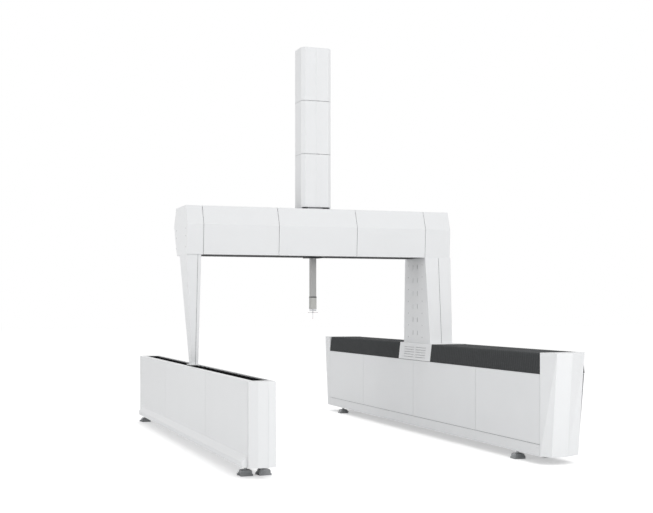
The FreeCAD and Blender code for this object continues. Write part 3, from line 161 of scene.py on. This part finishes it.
# %% Effect: settled dust
settled_dust, given, result = new_group(
    "settled dust", "ShaderNodeTree",
    [("Amount", FLOAT, 0.2), ("Grains per metre", FLOAT, 60.0)], [("Mask", FLOAT)])
place = add(settled_dust, "ShaderNodeTexCoord").outputs["Object"]
upright = add(settled_dust, "ShaderNodeSeparateXYZ",
              {0: add(settled_dust, "ShaderNodeNewGeometry").outputs["Normal"]})
facing = add(settled_dust, "ShaderNodeMapRange",
             {"Value": upright.outputs["Z"], "From Min": 0.35, "From Max": 0.95})
cloud = add(settled_dust, "ShaderNodeTexNoise",
            {"Vector": place, "Scale": given["Grains per metre"], "Detail": 5.0, "Roughness": 0.7})
thick = add(settled_dust, "ShaderNodeMapRange",
            {"Value": cloud.outputs["Fac"], "From Min": 0.35, "From Max": 0.7})
mask = add(settled_dust, "ShaderNodeMath", {0: facing.outputs[0], 1: thick.outputs[0]},
           operation="MULTIPLY")
mask = add(settled_dust, "ShaderNodeMath", {0: mask.outputs[0], 1: given["Amount"]},
           operation="MULTIPLY")
settled_dust.links.new(mask.outputs[0], result.inputs["Mask"])
print("group:", settled_dust.name)

# %% Effect: worn edges
worn_edges, given, result = new_group(
    "worn edges", "ShaderNodeTree",
    [("Radius", FLOAT, 0.002), ("Amount", FLOAT, 0.6), ("Patches per metre", FLOAT, 35.0)],
    [("Mask", FLOAT), ("Normal", VECTOR)])
rounded = add(worn_edges, "ShaderNodeBevel", {"Radius": given["Radius"]}, samples=4)
true_normal = add(worn_edges, "ShaderNodeNewGeometry").outputs["Normal"]
same = add(worn_edges, "ShaderNodeVectorMath", {0: rounded.outputs[0], 1: true_normal},
           operation="DOT_PRODUCT")
bent = add(worn_edges, "ShaderNodeMapRange",
           {"Value": same.outputs["Value"], "From Min": 0.995, "From Max": 0.85})
place = add(worn_edges, "ShaderNodeTexCoord").outputs["Object"]
patches = add(worn_edges, "ShaderNodeTexNoise",
              {"Vector": place, "Scale": given["Patches per metre"], "Detail": 4.0})
where = add(worn_edges, "ShaderNodeMapRange",
            {"Value": patches.outputs["Fac"], "From Min": 0.42, "From Max": 0.62})
mask = add(worn_edges, "ShaderNodeMath", {0: bent.outputs[0], 1: where.outputs[0]},
           operation="MULTIPLY")
mask = add(worn_edges, "ShaderNodeMath", {0: mask.outputs[0], 1: given["Amount"]},
           operation="MULTIPLY")
worn_edges.links.new(mask.outputs[0], result.inputs["Mask"])
worn_edges.links.new(rounded.outputs[0], result.inputs["Normal"])
print("group:", worn_edges.name)

# %% [markdown]
# Ground, brushed and drawn metal all show fine lines in one direction. The same noise serves
# for all of them when its space is stretched: a small number along the lines, a large one
# across them.

# %% Effect: lay of the cut
lay_of_cut, given, result = new_group(
    "lay of the cut", "ShaderNodeTree",
    [("Colour", COLOUR, (1, 1, 1, 1)), ("Stretch", VECTOR, (1.0, 400.0, 400.0)),
     ("Contrast", FLOAT, 0.15)],
    [("Colour", COLOUR), ("Height", FLOAT)])
place = add(lay_of_cut, "ShaderNodeTexCoord").outputs["Object"]
spread = add(lay_of_cut, "ShaderNodeVectorMath", {0: place, 1: given["Stretch"]},
             operation="MULTIPLY")
lines = add(lay_of_cut, "ShaderNodeTexNoise",
            {"Vector": spread.outputs[0], "Scale": 1.0, "Detail": 4.0, "Roughness": 0.6})
away = add(lay_of_cut, "ShaderNodeMath", {0: lines.outputs["Fac"], 1: 0.5}, operation="SUBTRACT")
gain = add(lay_of_cut, "ShaderNodeMath", {0: away.outputs[0], 1: given["Contrast"], 2: 1.0},
           operation="MULTIPLY_ADD")
tone = add(lay_of_cut, "ShaderNodeVectorMath", {0: given["Colour"], "Scale": gain.outputs[0]},
           operation="SCALE")
lay_of_cut.links.new(tone.outputs[0], result.inputs["Colour"])
lay_of_cut.links.new(lines.outputs["Fac"], result.inputs["Height"])
print("group:", lay_of_cut.name)

# %% Effect: woven cloth
woven_cloth, given, result = new_group(
    "woven cloth", "ShaderNodeTree",
    [("Colour", COLOUR, (1, 1, 1, 1)), ("Threads per metre", FLOAT, 900.0),
     ("Fading", FLOAT, 0.2)],
    [("Colour", COLOUR), ("Height", FLOAT)])
place = add(woven_cloth, "ShaderNodeTexCoord").outputs["Object"]
spread = add(woven_cloth, "ShaderNodeVectorMath",
             {0: place, "Scale": given["Threads per metre"]}, operation="SCALE")
parts = add(woven_cloth, "ShaderNodeSeparateXYZ", {0: spread.outputs[0]})
along = add(woven_cloth, "ShaderNodeMath", {0: parts.outputs["Y"]}, operation="SINE")
round_it = add(woven_cloth, "ShaderNodeMath", {0: parts.outputs["X"], 1: parts.outputs["Z"]},
               operation="ADD")
across = add(woven_cloth, "ShaderNodeMath", {0: round_it.outputs[0]}, operation="SINE")
threads = add(woven_cloth, "ShaderNodeMath", {0: along.outputs[0], 1: across.outputs[0]},
              operation="MAXIMUM")
blotch = add(woven_cloth, "ShaderNodeTexNoise", {"Vector": place, "Scale": 5.0, "Detail": 5.0})
away = add(woven_cloth, "ShaderNodeMath", {0: blotch.outputs["Fac"], 1: 0.5},
           operation="SUBTRACT")
gain = add(woven_cloth, "ShaderNodeMath", {0: away.outputs[0], 1: given["Fading"], 2: 1.0},
           operation="MULTIPLY_ADD")
tone = add(woven_cloth, "ShaderNodeVectorMath", {0: given["Colour"], "Scale": gain.outputs[0]},
           operation="SCALE")
woven_cloth.links.new(tone.outputs[0], result.inputs["Colour"])
woven_cloth.links.new(threads.outputs[0], result.inputs["Height"])
print("group:", woven_cloth.name)

# %% [markdown]
# ## Finishes
# Each finish is one material with a Principled shader. Paint, metal and cloth are built the
# same way each time, so three functions make them, and the table below gives each its values.

# %% Functions that build a finish
DUST_COLOUR = (0.56, 0.54, 0.50, 1.0)
BARE_METAL = (0.55, 0.55, 0.56, 1.0)
CLOTH_DUST = (0.16, 0.165, 0.165, 1.0)
PEEL_HEIGHT, CUT_HEIGHT, WEAVE_HEIGHT = 0.00012, 0.00003, 0.0002
WORN_GAIN = 1.35


def shader_of(name):
    """New material, its node tree and its Principled shader."""
    material = bpy.data.materials.new(name)
    material.use_nodes = True
    return material, material.node_tree, material.node_tree.nodes["Principled BSDF"]


def effect(tree, group, **values):
    """Places a shared effect in a material."""
    node = add(tree, "ShaderNodeGroup", node_tree=group)
    for name, value in values.items():
        node.inputs[name.replace("_", " ")].default_value = value
    return node.outputs


def mixed(tree, mask, low, high):
    """Colour that goes from low to high with a mask."""
    node = add(tree, "ShaderNodeMix", data_type="RGBA")
    tree.links.new(mask, node.inputs[0])
    for socket, value in ((node.inputs[6], low), (node.inputs[7], high)):
        if isinstance(value, bpy.types.NodeSocket):
            tree.links.new(value, socket)
        else:
            socket.default_value = value
    return node.outputs[2]


def ramped(tree, value, low, high):
    """Number that goes from low to high with a value from 0 to 1."""
    node = add(tree, "ShaderNodeMapRange", {"Value": value, "To Min": low, "To Max": high})
    return node.outputs[0]


def bump(tree, height, distance, normal=None):
    """Normal that follows a height, on top of another normal if one is given."""
    node = add(tree, "ShaderNodeBump", {"Height": height, "Distance": distance,
                                        "Strength": 1.0})
    if normal is not None:
        tree.links.new(normal, node.inputs["Normal"])
    return node.outputs["Normal"]


print("dust colour", DUST_COLOUR[:3])


# %% Painted, metal and cloth finishes
def painted(name, colour, roughness, cells=420.0, dust=0.12, wear=0.0, radius=0.003):
    """Powder coat or paint over sheet metal; wear shows bare metal on the edges."""
    material, tree, shader = shader_of(name)
    skin = effect(tree, coat_skin, Colour=(*colour, 1.0), Cells_per_metre=cells)
    edges = effect(tree, worn_edges, Radius=radius, Amount=wear)
    dusty = effect(tree, settled_dust, Amount=dust)
    coloured = mixed(tree, edges["Mask"], skin["Colour"], BARE_METAL)
    coloured = mixed(tree, dusty["Mask"], coloured, DUST_COLOUR)
    tree.links.new(coloured, shader.inputs["Base Color"])
    tree.links.new(ramped(tree, skin["Patch"], roughness - 0.05, roughness + 0.07),
                   shader.inputs["Roughness"])
    tree.links.new(bump(tree, skin["Height"], PEEL_HEIGHT, edges["Normal"]),
                   shader.inputs["Normal"])
    if wear:
        tree.links.new(edges["Mask"], shader.inputs["Metallic"])
    return material


def machined(name, colour, roughness, stretch, contrast=0.18, wear=0.5, radius=0.001,
             metallic=1.0, dust=0.0):
    """Bare metal with the fine lines that its last cut left."""
    material, tree, shader = shader_of(name)
    cut = effect(tree, lay_of_cut, Colour=(*colour, 1.0), Stretch=stretch, Contrast=contrast)
    edges = effect(tree, worn_edges, Radius=radius, Amount=wear)
    bright = tuple(min(1.0, c * WORN_GAIN) for c in colour) + (1.0,)
    coloured = mixed(tree, edges["Mask"], cut["Colour"], bright)
    if dust:
        dusty = effect(tree, settled_dust, Amount=dust)
        coloured = mixed(tree, dusty["Mask"], coloured, DUST_COLOUR)
    tree.links.new(coloured, shader.inputs["Base Color"])
    tree.links.new(ramped(tree, cut["Height"], roughness - 0.06, roughness + 0.08),
                   shader.inputs["Roughness"])
    tree.links.new(bump(tree, cut["Height"], CUT_HEIGHT, edges["Normal"]),
                   shader.inputs["Normal"])
    shader.inputs["Metallic"].default_value = metallic
    return material


def cloth(name, colour, threads, roughness=0.62, dust=0.25, fading=0.25):
    """Coated cloth or rubberised fabric."""
    material, tree, shader = shader_of(name)
    weave = effect(tree, woven_cloth, Colour=(*colour, 1.0), Threads_per_metre=threads,
                   Fading=fading)
    dusty = effect(tree, settled_dust, Amount=dust, Grains_per_metre=25.0)
    tree.links.new(mixed(tree, dusty["Mask"], weave["Colour"], CLOTH_DUST),
                   shader.inputs["Base Color"])
    shader.inputs["Roughness"].default_value = roughness
    tree.links.new(bump(tree, weave["Height"], WEAVE_HEIGHT), shader.inputs["Normal"])
    return material


print("three kinds of finish")

# %% [markdown]
# The names below are the record's material slots, so that one loop can dress every CAD node.

# %% Finish table
ALONG_X, ALONG_Y, ALONG_Z = (3.0, 700.0, 700.0), (700.0, 3.0, 700.0), (700.0, 700.0, 3.0)
finishes = {
    "cover_white": painted("cover_white", (0.86, 0.87, 0.88), 0.36, dust=0.05),
    "frame_grey": painted("frame_grey", (0.28, 0.29, 0.31), 0.45, cells=300.0, dust=0.3),
    "ground_rail": machined("ground_rail", (0.40, 0.41, 0.42), 0.34, ALONG_Y),
    "bellows_cloth": cloth("bellows_cloth", (0.042, 0.045, 0.047), 1500.0),
    "slot_band": painted("slot_band", (0.010, 0.010, 0.011), 0.5, cells=250.0, dust=0.0),
    "bearing_pad": machined("bearing_pad", (0.62, 0.63, 0.65), 0.28, ALONG_X),
    "drive_steel": machined("drive_steel", (0.55, 0.56, 0.58), 0.22, ALONG_Y),
    "scale_strip": machined("scale_strip", (0.66, 0.56, 0.33), 0.25, ALONG_Z),
    "motor_dark": painted("motor_dark", (0.03, 0.03, 0.033), 0.4, wear=0.5, dust=0.2),
    "mast_aluminium": machined("mast_aluminium", (0.60, 0.61, 0.63), 0.38, ALONG_Z),
    "ram_metal": machined("ram_metal", (0.46, 0.46, 0.455), 0.42, ALONG_Z, metallic=0.6),
    "dark_trim": painted("dark_trim", (0.022, 0.023, 0.025), 0.38, wear=0.3, radius=0.0015),
    "belt_rubber": cloth("belt_rubber", (0.02, 0.02, 0.02), 2500.0, roughness=0.75, dust=0.1),
    "probe_grey": painted("probe_grey", (0.52, 0.52, 0.50), 0.36, cells=900.0, radius=0.0015),
    "foot_metal": machined("foot_metal", (0.36, 0.37, 0.38), 0.42, (90.0, 90.0, 90.0),
                           contrast=0.5, wear=0.8, radius=0.004, metallic=0.55, dust=0.25),
    "zinc_steel": machined("zinc_steel", (0.38, 0.39, 0.40), 0.36, ALONG_Z, dust=0.2),
    "stylus_stem": machined("stylus_stem", (0.60, 0.60, 0.62), 0.22, ALONG_Z),
}
band_shader = finishes["slot_band"].node_tree.nodes["Principled BSDF"]
band_shader.inputs["Specular IOR Level"].default_value = 0.0
print("finishes:", len(finishes))

# %% [markdown]
# The stylus balls are polished synthetic ruby: hard, clear-coated and deep red.

# %% Ruby balls
ruby, tree, shader = shader_of("stylus_ball")
streak = effect(tree, lay_of_cut, Colour=(0.42, 0.01, 0.035, 1.0), Stretch=(90.0, 90.0, 90.0),
                Contrast=0.35)
tree.links.new(streak["Colour"], shader.inputs["Base Color"])
tree.links.new(ramped(tree, streak["Height"], 0.05, 0.11), shader.inputs["Roughness"])
shader.inputs["Coat Weight"].default_value = 1.0
shader.inputs["Coat Roughness"].default_value = 0.03
finishes["stylus_ball"] = ruby
print("ruby ready")

# %% Dress the CAD nodes
for subpart in frame["record"]["subparts"]:
    mesh = nodes[subpart["node"]].data
    mesh.materials.clear()
    mesh.materials.append(finishes[subpart["material_slot"]])

# %% [markdown]
# ## Geometry Nodes for what repeats
# Pleats and screws are one small shape many times over. One tree lays copies of a pleat along
# a straight line, and another puts screws on points, each turned to face its own way. Both end
# in Realize Instances and Set Material, so the result is one plain mesh.

# %% Tree: copies along a line
GEOMETRY, OBJECT, INTEGER = "NodeSocketGeometry", "NodeSocketObject", "NodeSocketInt"
MATERIAL = "NodeSocketMaterial"
row_of_copies, given, result = new_group(
    "row of copies", "GeometryNodeTree",
    [("Geometry", GEOMETRY, None), ("Shape", OBJECT, None), ("Finish", MATERIAL, None),
     ("Count", INTEGER, 2), ("Step", VECTOR, (0.0, 0.1, 0.0)), ("Join within", FLOAT, 0.00001)],
    [("Geometry", GEOMETRY)])
stations = add(row_of_copies, "GeometryNodeMeshLine",
               {"Count": given["Count"], "Offset": given["Step"]}, mode="OFFSET")
shape = add(row_of_copies, "GeometryNodeObjectInfo", {"Object": given["Shape"]})
copies = add(row_of_copies, "GeometryNodeInstanceOnPoints",
             {"Points": stations.outputs[0], "Instance": shape.outputs["Geometry"]})
real = add(row_of_copies, "GeometryNodeRealizeInstances", {0: copies.outputs[0]})
welded = add(row_of_copies, "GeometryNodeMergeByDistance",
             {0: real.outputs[0], "Distance": given["Join within"]})
dressed = add(row_of_copies, "GeometryNodeSetMaterial",
              {"Geometry": welded.outputs[0], "Material": given["Finish"]})
row_of_copies.links.new(dressed.outputs[0], result.inputs[0])
print("tree:", row_of_copies.name)

# %% Tree: copies on points
copies_on_points, given, result = new_group(
    "copies on points", "GeometryNodeTree",
    [("Geometry", GEOMETRY, None), ("Shape", OBJECT, None), ("Finish", MATERIAL, None)],
    [("Geometry", GEOMETRY)])
facing = add(copies_on_points, "GeometryNodeInputNamedAttribute", {"Name": "facing"},
             data_type="FLOAT_VECTOR")
turn = add(copies_on_points, "FunctionNodeAlignRotationToVector",
           {"Vector": facing.outputs[0]}, axis="Z")
shape = add(copies_on_points, "GeometryNodeObjectInfo", {"Object": given["Shape"]})
copies = add(copies_on_points, "GeometryNodeInstanceOnPoints",
             {"Points": given["Geometry"], "Instance": shape.outputs["Geometry"],
              "Rotation": turn.outputs[0]})
real = add(copies_on_points, "GeometryNodeRealizeInstances", {0: copies.outputs[0]})
dressed = add(copies_on_points, "GeometryNodeSetMaterial",
              {"Geometry": real.outputs[0], "Material": given["Finish"]})
copies_on_points.links.new(dressed.outputs[0], result.inputs[0])
print("tree:", copies_on_points.name)


# %% Helpers that run a tree and keep its mesh
def mesh_from(bm, name):
    """Plain mesh from a bmesh, with its faces turned outwards."""
    bmesh.ops.recalc_face_normals(bm, faces=bm.faces)
    mesh = bpy.data.meshes.new(name)
    bm.to_mesh(mesh)
    bm.free()
    return mesh


def placed(name, mesh):
    """Object that shows a mesh."""
    piece = bpy.data.objects.new(name, mesh)
    bpy.context.collection.objects.link(piece)
    return piece


def grown(name, tree, values, base=None):
    """Runs a Geometry Nodes tree on a base mesh and returns a plain piece."""
    holder = placed(name + "_holder", base or bpy.data.meshes.new("empty"))
    modifier = holder.modifiers.new("tree", "NODES")
    modifier.node_group = tree
    for socket in tree.interface.items_tree:
        if socket.in_out == "INPUT" and socket.name in values:
            modifier[socket.identifier] = values[socket.name]
    ready = holder.evaluated_get(bpy.context.evaluated_depsgraph_get())
    mesh = bpy.data.meshes.new_from_object(ready)
    holder.modifiers.remove(modifier)
    bpy.data.objects.remove(holder)
    mesh.name = name
    return placed(name, mesh)


print("helpers ready")

# %% [markdown]
# ## The runway bellows
# The driven carriage rides inside its runway, and pleated bellows keep dirt off the guideway
# on both sides of it. A bellows is a long roof-shaped tunnel of coated cloth, folded like an
# accordion over thin stiffeners: a sharp crest, a valley, a crest, all at one even pitch.
# One pleat is modelled with the cloth's thickness, and the tree repeats it.


# %% One pleat
def offset_path(path, distance):
    """The path moved to its left by a distance, with mitred corners."""
    normals = []
    for a, b in zip(path, path[1:]):
        run = (b - a).normalized()
        normals.append(Vector((-run.y, run.x)))
    moved = []
    for i, point in enumerate(path):
        before, after = normals[max(i - 1, 0)], normals[min(i, len(normals) - 1)]
        moved.append(point + (before + after) * distance / (1.0 + before.dot(after)))
    return moved


def pleat_shape(name, path, depth, pitch, skin, into_space, flat=0.12):
    """One crest-to-crest fold. Its rings run round the path, outside and inside."""
    stations = [(0.0, 0.0), (flat / 2, 0.0), (0.5 - flat / 2, 1.0), (0.5 + flat / 2, 1.0),
                (1.0 - flat / 2, 0.0), (1.0, 0.0)]
    bm = bmesh.new()
    rings = []
    for share, sink in stations:
        outer = offset_path(path, depth * sink)
        inner = offset_path(path, depth * sink + skin)
        ring = [bm.verts.new(into_space(p, share * pitch)) for p in outer + inner[::-1]]
        rings.append(ring)
    for ring, following in zip(rings, rings[1:]):
        for i in range(len(ring)):
            j = (i + 1) % len(ring)
            bm.faces.new((ring[i], ring[j], following[j], following[i]))
    return placed(name, mesh_from(bm, name))


def closed_ends(piece):
    """Caps the two open ends of a bellows and turns its faces outwards."""
    bm = bmesh.new()
    bm.from_mesh(piece.data)
    bmesh.ops.holes_fill(bm, edges=[e for e in bm.edges if e.is_boundary])
    bmesh.ops.triangulate(bm, faces=[f for f in bm.faces if len(f.verts) > 4])
    bmesh.ops.recalc_face_normals(bm, faces=bm.faces)
    bm.to_mesh(piece.data)
    bm.free()


print("pleat stations ready")

# %% [markdown]
# When the carriage travels, a bellows must stay joined at both ends and open or close evenly
# between them. A blend turns smoothly from one body to the other, which on one long piece
# would crowd the folds in the middle. Real long bellows are glued up from sections, and the
# bellows here are built from sections too. Each section's blend window is worked out, and the
# windows follow each other so that the whole length would move almost evenly, but no blend is
# set up with them: the sections are not tied to any body and stay where they are built.

# %% Section shares
SECTION_WEIGHTS = [0.0, 0.06, 0.2, 0.5, 0.8, 0.94, 1.0]
SECTION_PLACES = [0.0, 0.10, 0.228, 0.5, 0.772, 0.90, 1.0]
HALVINGS = 40
FEWEST_PLEATS = 12


def smooth_inverse(weight):
    """The t at which t * t * (3 - 2 t) equals a weight."""
    low, high = 0.0, 1.0
    for _ in range(HALVINGS):
        middle = (low + high) / 2
        if middle * middle * (3 - 2 * middle) < weight:
            low = middle
        else:
            high = middle
    return (low + high) / 2


def window(section, start, length):
    """Start and end of a section's blend along the bellows."""
    a, b = SECTION_PLACES[section:section + 2]
    ta, tb = (smooth_inverse(w) for w in SECTION_WEIGHTS[section:section + 2])
    scale = (b - a) / (tb - ta)
    first = a - ta * scale
    return start + first * length, start + (first + scale) * length


print("sections:", len(SECTION_WEIGHTS) - 1)


# %% Bellows in sections
def bellows(name, node, shape_of, axis, fixed, moving, pitch):
    """Sections of pleats from the fixed end to the moving end, along an axis."""
    total = max(FEWEST_PLEATS, round(abs(moving - fixed) / pitch))
    step = (moving - fixed) / total
    edges = [round(place * total) for place in SECTION_PLACES]
    pleat = shape_of(step)
    faces = 0
    for section, (first, last) in enumerate(zip(edges, edges[1:])):
        offset = Vector((0, 0, 0))
        offset[axis] = step
        piece = grown(f"{name}_{section + 1}", row_of_copies,
                      {"Shape": pleat, "Finish": finishes["bellows_cloth"],
                       "Count": last - first, "Step": offset})
        shift = Vector((0, 0, 0))
        shift[axis] = fixed + first * step
        for vertex in piece.data.vertices:
            vertex.co += shift
        closed_ends(piece)
        start, end = Vector((0, 0, 0)), Vector((0, 0, 0))
        start[axis], end[axis] = window(section, fixed, moving - fixed)
        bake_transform(piece)
        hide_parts(node)
        faces += len(piece.data.polygons)
    bpy.data.objects.remove(pleat)
    print(name, "pleats", total, "faces", faces)


RUNWAY_PITCH = 0.064
RUNWAY_DEPTH = 0.024
SKIN = 0.002
BELLOWS_LEAN = 0.033
near_low, near_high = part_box("bellows_near")
far_low, far_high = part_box("bellows_far")


def runway_pleat(step):
    """A pleat round three sides: up one leaning side, over the top and down the other."""
    left, right = near_low.x, near_high.x
    path = [Vector((right, near_low.z)), Vector((right - BELLOWS_LEAN, near_high.z)),
            Vector((left + BELLOWS_LEAN, near_high.z)), Vector((left, near_low.z))]
    return pleat_shape("runway_pleat", path, RUNWAY_DEPTH, step, SKIN,
                       lambda p, along: Vector((p.x, along, p.y)))


bellows("runway_bellows_near", "bellows_near", runway_pleat, 1,
        near_low.y, near_high.y, RUNWAY_PITCH)
bellows("runway_bellows_far", "bellows_far", runway_pleat, 1,
        far_high.y, far_low.y, RUNWAY_PITCH)

# %% [markdown]
# ## The crossbeam bellows
# Flat pleated strips close the crossbeam's slots on both sides of the Z column, one pair along
# the top and one along the underside. Only a skin thickness of cloth and a shallow fold fit in
# the slot, so the same pleat runs across a straight path instead of a roof-shaped one.

# %% Strips along the crossbeam
STRIP_PITCH = 0.030
STRIP_DEPTH = 0.016
UPPER_STRIP_Y = (-0.008, 0.336)
UPPER_STRIP_END = 0.122


def strip_pleat(y_from, y_to, z):
    """A pleat straight across a slot. Its folds sink to the left of the way it runs."""
    path = [Vector((y_from, z)), Vector((y_to, z))]
    return lambda step: pleat_shape("strip_pleat", path, STRIP_DEPTH, step, SKIN,
                                    lambda p, along: Vector((along, p.x, p.y)))


for side in ("left", "right"):
    low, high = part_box("x_bellows_" + side)
    outer, inner = (low.x, high.x) if side == "left" else (high.x, low.x)
    back = -UPPER_STRIP_END if side == "left" else UPPER_STRIP_END
    bellows(f"beam_bellows_{side}_under", "x_bellows_" + side, strip_pleat(low.y, high.y, low.z),
            0, outer, inner, STRIP_PITCH)
    bellows(f"beam_bellows_{side}_top", "x_bellows_" + side,
            strip_pleat(UPPER_STRIP_Y[1], UPPER_STRIP_Y[0], high.z),
            0, outer, inner + back, STRIP_PITCH)

# %% [markdown]
# ## Cover screws
# Sheet covers are held by low button-head screws with a hexagon socket. One small head is
# modelled, and the tree puts a copy on every point, turned to face out of the cover. The
# points come from a ray cast onto the CAD node, so a screw sits on a leaning face as well as
# on an upright one.

# %% One button head
HEAD_SIDES = 12
HEAD_RINGS = ((1.0, -0.1), (1.0, 0.1), (0.78, 0.36), (0.46, 0.46), (0.42, 0.18))
SOCKET_RADIUS = 0.45
FLAT_TO_CORNER = 0.94


def button_head(name, radius):
    """A domed head on the XY plane, with a hexagon socket in its top."""
    bm = bmesh.new()
    rings = []
    for share, height in HEAD_RINGS:
        ring = []
        for i in range(HEAD_SIDES):
            turn = 2 * math.pi * i / HEAD_SIDES
            on_flat = share < SOCKET_RADIUS and i % 2
            reach = share * radius * (FLAT_TO_CORNER if on_flat else 1.0)
            ring.append(bm.verts.new((reach * math.cos(turn), reach * math.sin(turn),
                                      height * radius)))
        rings.append(ring)
    for ring, following in zip(rings, rings[1:]):
        for i in range(len(ring)):
            j = (i + 1) % len(ring)
            bm.faces.new((ring[i], ring[j], following[j], following[i]))
    bm.faces.new(rings[0][::-1])
    bm.faces.new(rings[-1])
    return placed(name, mesh_from(bm, name))


cover_head = button_head("cover_head", 0.008)
small_head = button_head("small_head", 0.0032)
print("head faces:", len(cover_head.data.polygons))


# %% Screws on a cover
def screws_on(name, node, body, starts, direction, head, finish="zinc_steel"):
    """Casts a ray from each start onto a node and sets a screw where it lands."""
    mesh = nodes[node].data
    tree = BVHTree.FromPolygons([v.co for v in mesh.vertices],
                                [tuple(f.vertices) for f in mesh.polygons])
    hits = []
    for start in starts:
        point, normal, _, _ = tree.ray_cast(Vector(start), Vector(direction))
        if point is not None:
            hits.append((point, normal if normal.dot(Vector(direction)) < 0 else -normal))
    base = bpy.data.meshes.new(name)
    base.from_pydata([point for point, _ in hits], [], [])
    facing = base.attributes.new("facing", "FLOAT_VECTOR", "POINT")
    for item, (_, normal) in zip(facing.data, hits):
        item.vector = normal
    piece = grown(name, copies_on_points, {"Shape": head, "Finish": finishes[finish]}, base)
    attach(piece, body)
    print(name, "screws", len(hits), "of", len(starts))


def evenly(first, last, count):
    """Count numbers from first to last, all one step apart."""
    return [first + (last - first) * i / (count - 1) for i in range(count)]


CAST_FROM = 1.0
COLUMN_ROWS, COLUMN_SCREW_Y = 7, (-0.20, 0.40)
CAP_SCREW_Y, CAP_SCREW_Z = (-0.22, 0.52), (3.16, 3.34, 3.46)
SKIRT_SCREWS, SKIRT_INSET, SKIRT_DROP = 20, 0.08, 0.05
Z_COVER_ROWS, Z_COVER_HALF, Z_COVER_INSET = 9, 0.08, 0.10
PROBE_INSET = 0.012

low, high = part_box("column_covers")
screws_on("column_cover_screws", "column_covers", "gantry",
          [(low.x - CAST_FROM, y, z) for z in evenly(low.z + 0.10, high.z - 0.12, COLUMN_ROWS)
           for y in COLUMN_SCREW_Y], (1, 0, 0), cover_head)
low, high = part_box("beam_end_caps")
for name, x, inwards in (("left_cap_screws", low.x - CAST_FROM, 1),
                         ("right_cap_screws", high.x + CAST_FROM, -1)):
    screws_on(name, "beam_end_caps", "gantry",
              [(x, y, z) for z in CAP_SCREW_Z for y in CAP_SCREW_Y],
              (inwards, 0, 0), cover_head)
low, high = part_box("right_side_panels")
rows = evenly(low.y + SKIRT_INSET, high.y - SKIRT_INSET, SKIRT_SCREWS)
for name, x, inwards in (("runway_inner_screws", low.x - CAST_FROM, 1),
                         ("runway_outer_screws", high.x + CAST_FROM, -1)):
    screws_on(name, "right_skirts", "base", [(x, y, low.z - SKIRT_DROP) for y in rows],
              (inwards, 0, 0), cover_head, "cover_white")
low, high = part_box("z_covers")
middle = (low + high) / 2
screws_on("z_cover_rear_screws", "z_covers", "x_carriage",
          [(x, high.y + CAST_FROM, z) for x in (middle.x - Z_COVER_HALF, middle.x + Z_COVER_HALF)
           for z in evenly(low.z + Z_COVER_INSET, high.z - Z_COVER_INSET, Z_COVER_ROWS)],
          (0, -1, 0), cover_head)
low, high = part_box("probe_head")
screws_on("probe_head_screws", "probe_head", "ram",
          [(x, low.y - CAST_FROM, z) for x in (low.x + PROBE_INSET, high.x - PROBE_INSET)
           for z in (low.z + PROBE_INSET, high.z - PROBE_INSET)], (0, 1, 0), small_head)
for head in (cover_head, small_head):
    bpy.data.objects.remove(head)

# %% [markdown]
# ## The studio
# A plain pale floor, a white backdrop and soft light. The floor glows a little for the camera
# only, so that it stays nearly white and still takes the machine's shadow.

# %% Floor
FLOOR_HALF, FLOOR_GLOW = 90.0, 0.45
floor_low = cad_box[0].z
bm = bmesh.new()
bmesh.ops.create_grid(bm, x_segments=1, y_segments=1, size=FLOOR_HALF)
for vertex in bm.verts:
    vertex.co.z = floor_low
floor = placed("floor", mesh_from(bm, "floor"))
material, tree, shader = shader_of("floor_pale")
shader.inputs["Base Color"].default_value = (0.92, 0.92, 0.92, 1.0)
shader.inputs["Roughness"].default_value = 0.9
shader.inputs["Specular IOR Level"].default_value = 0.0
glow = add(tree, "ShaderNodeEmission", {"Color": (1, 1, 1, 1)})
seen = add(tree, "ShaderNodeLightPath")
strength = add(tree, "ShaderNodeMath", {0: seen.outputs["Is Camera Ray"], 1: FLOOR_GLOW},
               operation="MULTIPLY")
tree.links.new(strength.outputs[0], glow.inputs["Strength"])
both = add(tree, "ShaderNodeAddShader")
tree.links.new(shader.outputs[0], both.inputs[0])
tree.links.new(glow.outputs[0], both.inputs[1])
tree.links.new(both.outputs[0], tree.nodes["Material Output"].inputs["Surface"])
floor.data.materials.append(material)
print("floor at", round(floor_low, 4))

# %% World and lamps
WORLD_LIGHT = 0.62
# Each lamp: name, place, the spot it points at, side in metres, power in watts.
LAMPS = (("front_lamp", (3.0, -15.0, 9.0), (0.0, 0.0, 2.0), 9.0, 800.0),
         ("left_lamp", (-15.0, -2.0, 6.0), (-2.0, 2.0, 1.0), 7.0, 330.0),
         ("rear_lamp", (3.0, 15.0, 9.0), (0.0, 0.0, 2.0), 9.0, 450.0))
world = bpy.data.worlds.new("studio")
world.use_nodes = True
bpy.context.scene.world = world
tree = world.node_tree
seen = add(tree, "ShaderNodeLightPath")
shows = add(tree, "ShaderNodeMath", {0: seen.outputs["Is Camera Ray"],
                                     1: seen.outputs["Is Glossy Ray"]}, operation="ADD")
shows = add(tree, "ShaderNodeMath", {0: shows.outputs[0],
                                     1: seen.outputs["Is Transmission Ray"]}, operation="ADD")
strength = add(tree, "ShaderNodeMapRange", {"Value": shows.outputs[0], "To Min": WORLD_LIGHT,
                                            "To Max": 1.0})
background = tree.nodes["Background"]
background.inputs["Color"].default_value = (1, 1, 1, 1)
tree.links.new(strength.outputs[0], background.inputs["Strength"])


def softbox(name, place, aim, size, power):
    """Large square lamp that points at a spot."""
    lamp = bpy.data.lights.new(name, "AREA")
    lamp.shape, lamp.size, lamp.energy = "SQUARE", size, power
    made = bpy.data.objects.new(name, lamp)
    made.location = place
    made.rotation_euler = (Vector(aim) - Vector(place)).to_track_quat("-Z", "Y").to_euler()
    made.visible_camera = False
    made.visible_glossy = False
    bpy.context.collection.objects.link(made)


for lamp in LAMPS:
    softbox(*lamp)
print("soft lamps:", len(LAMPS))
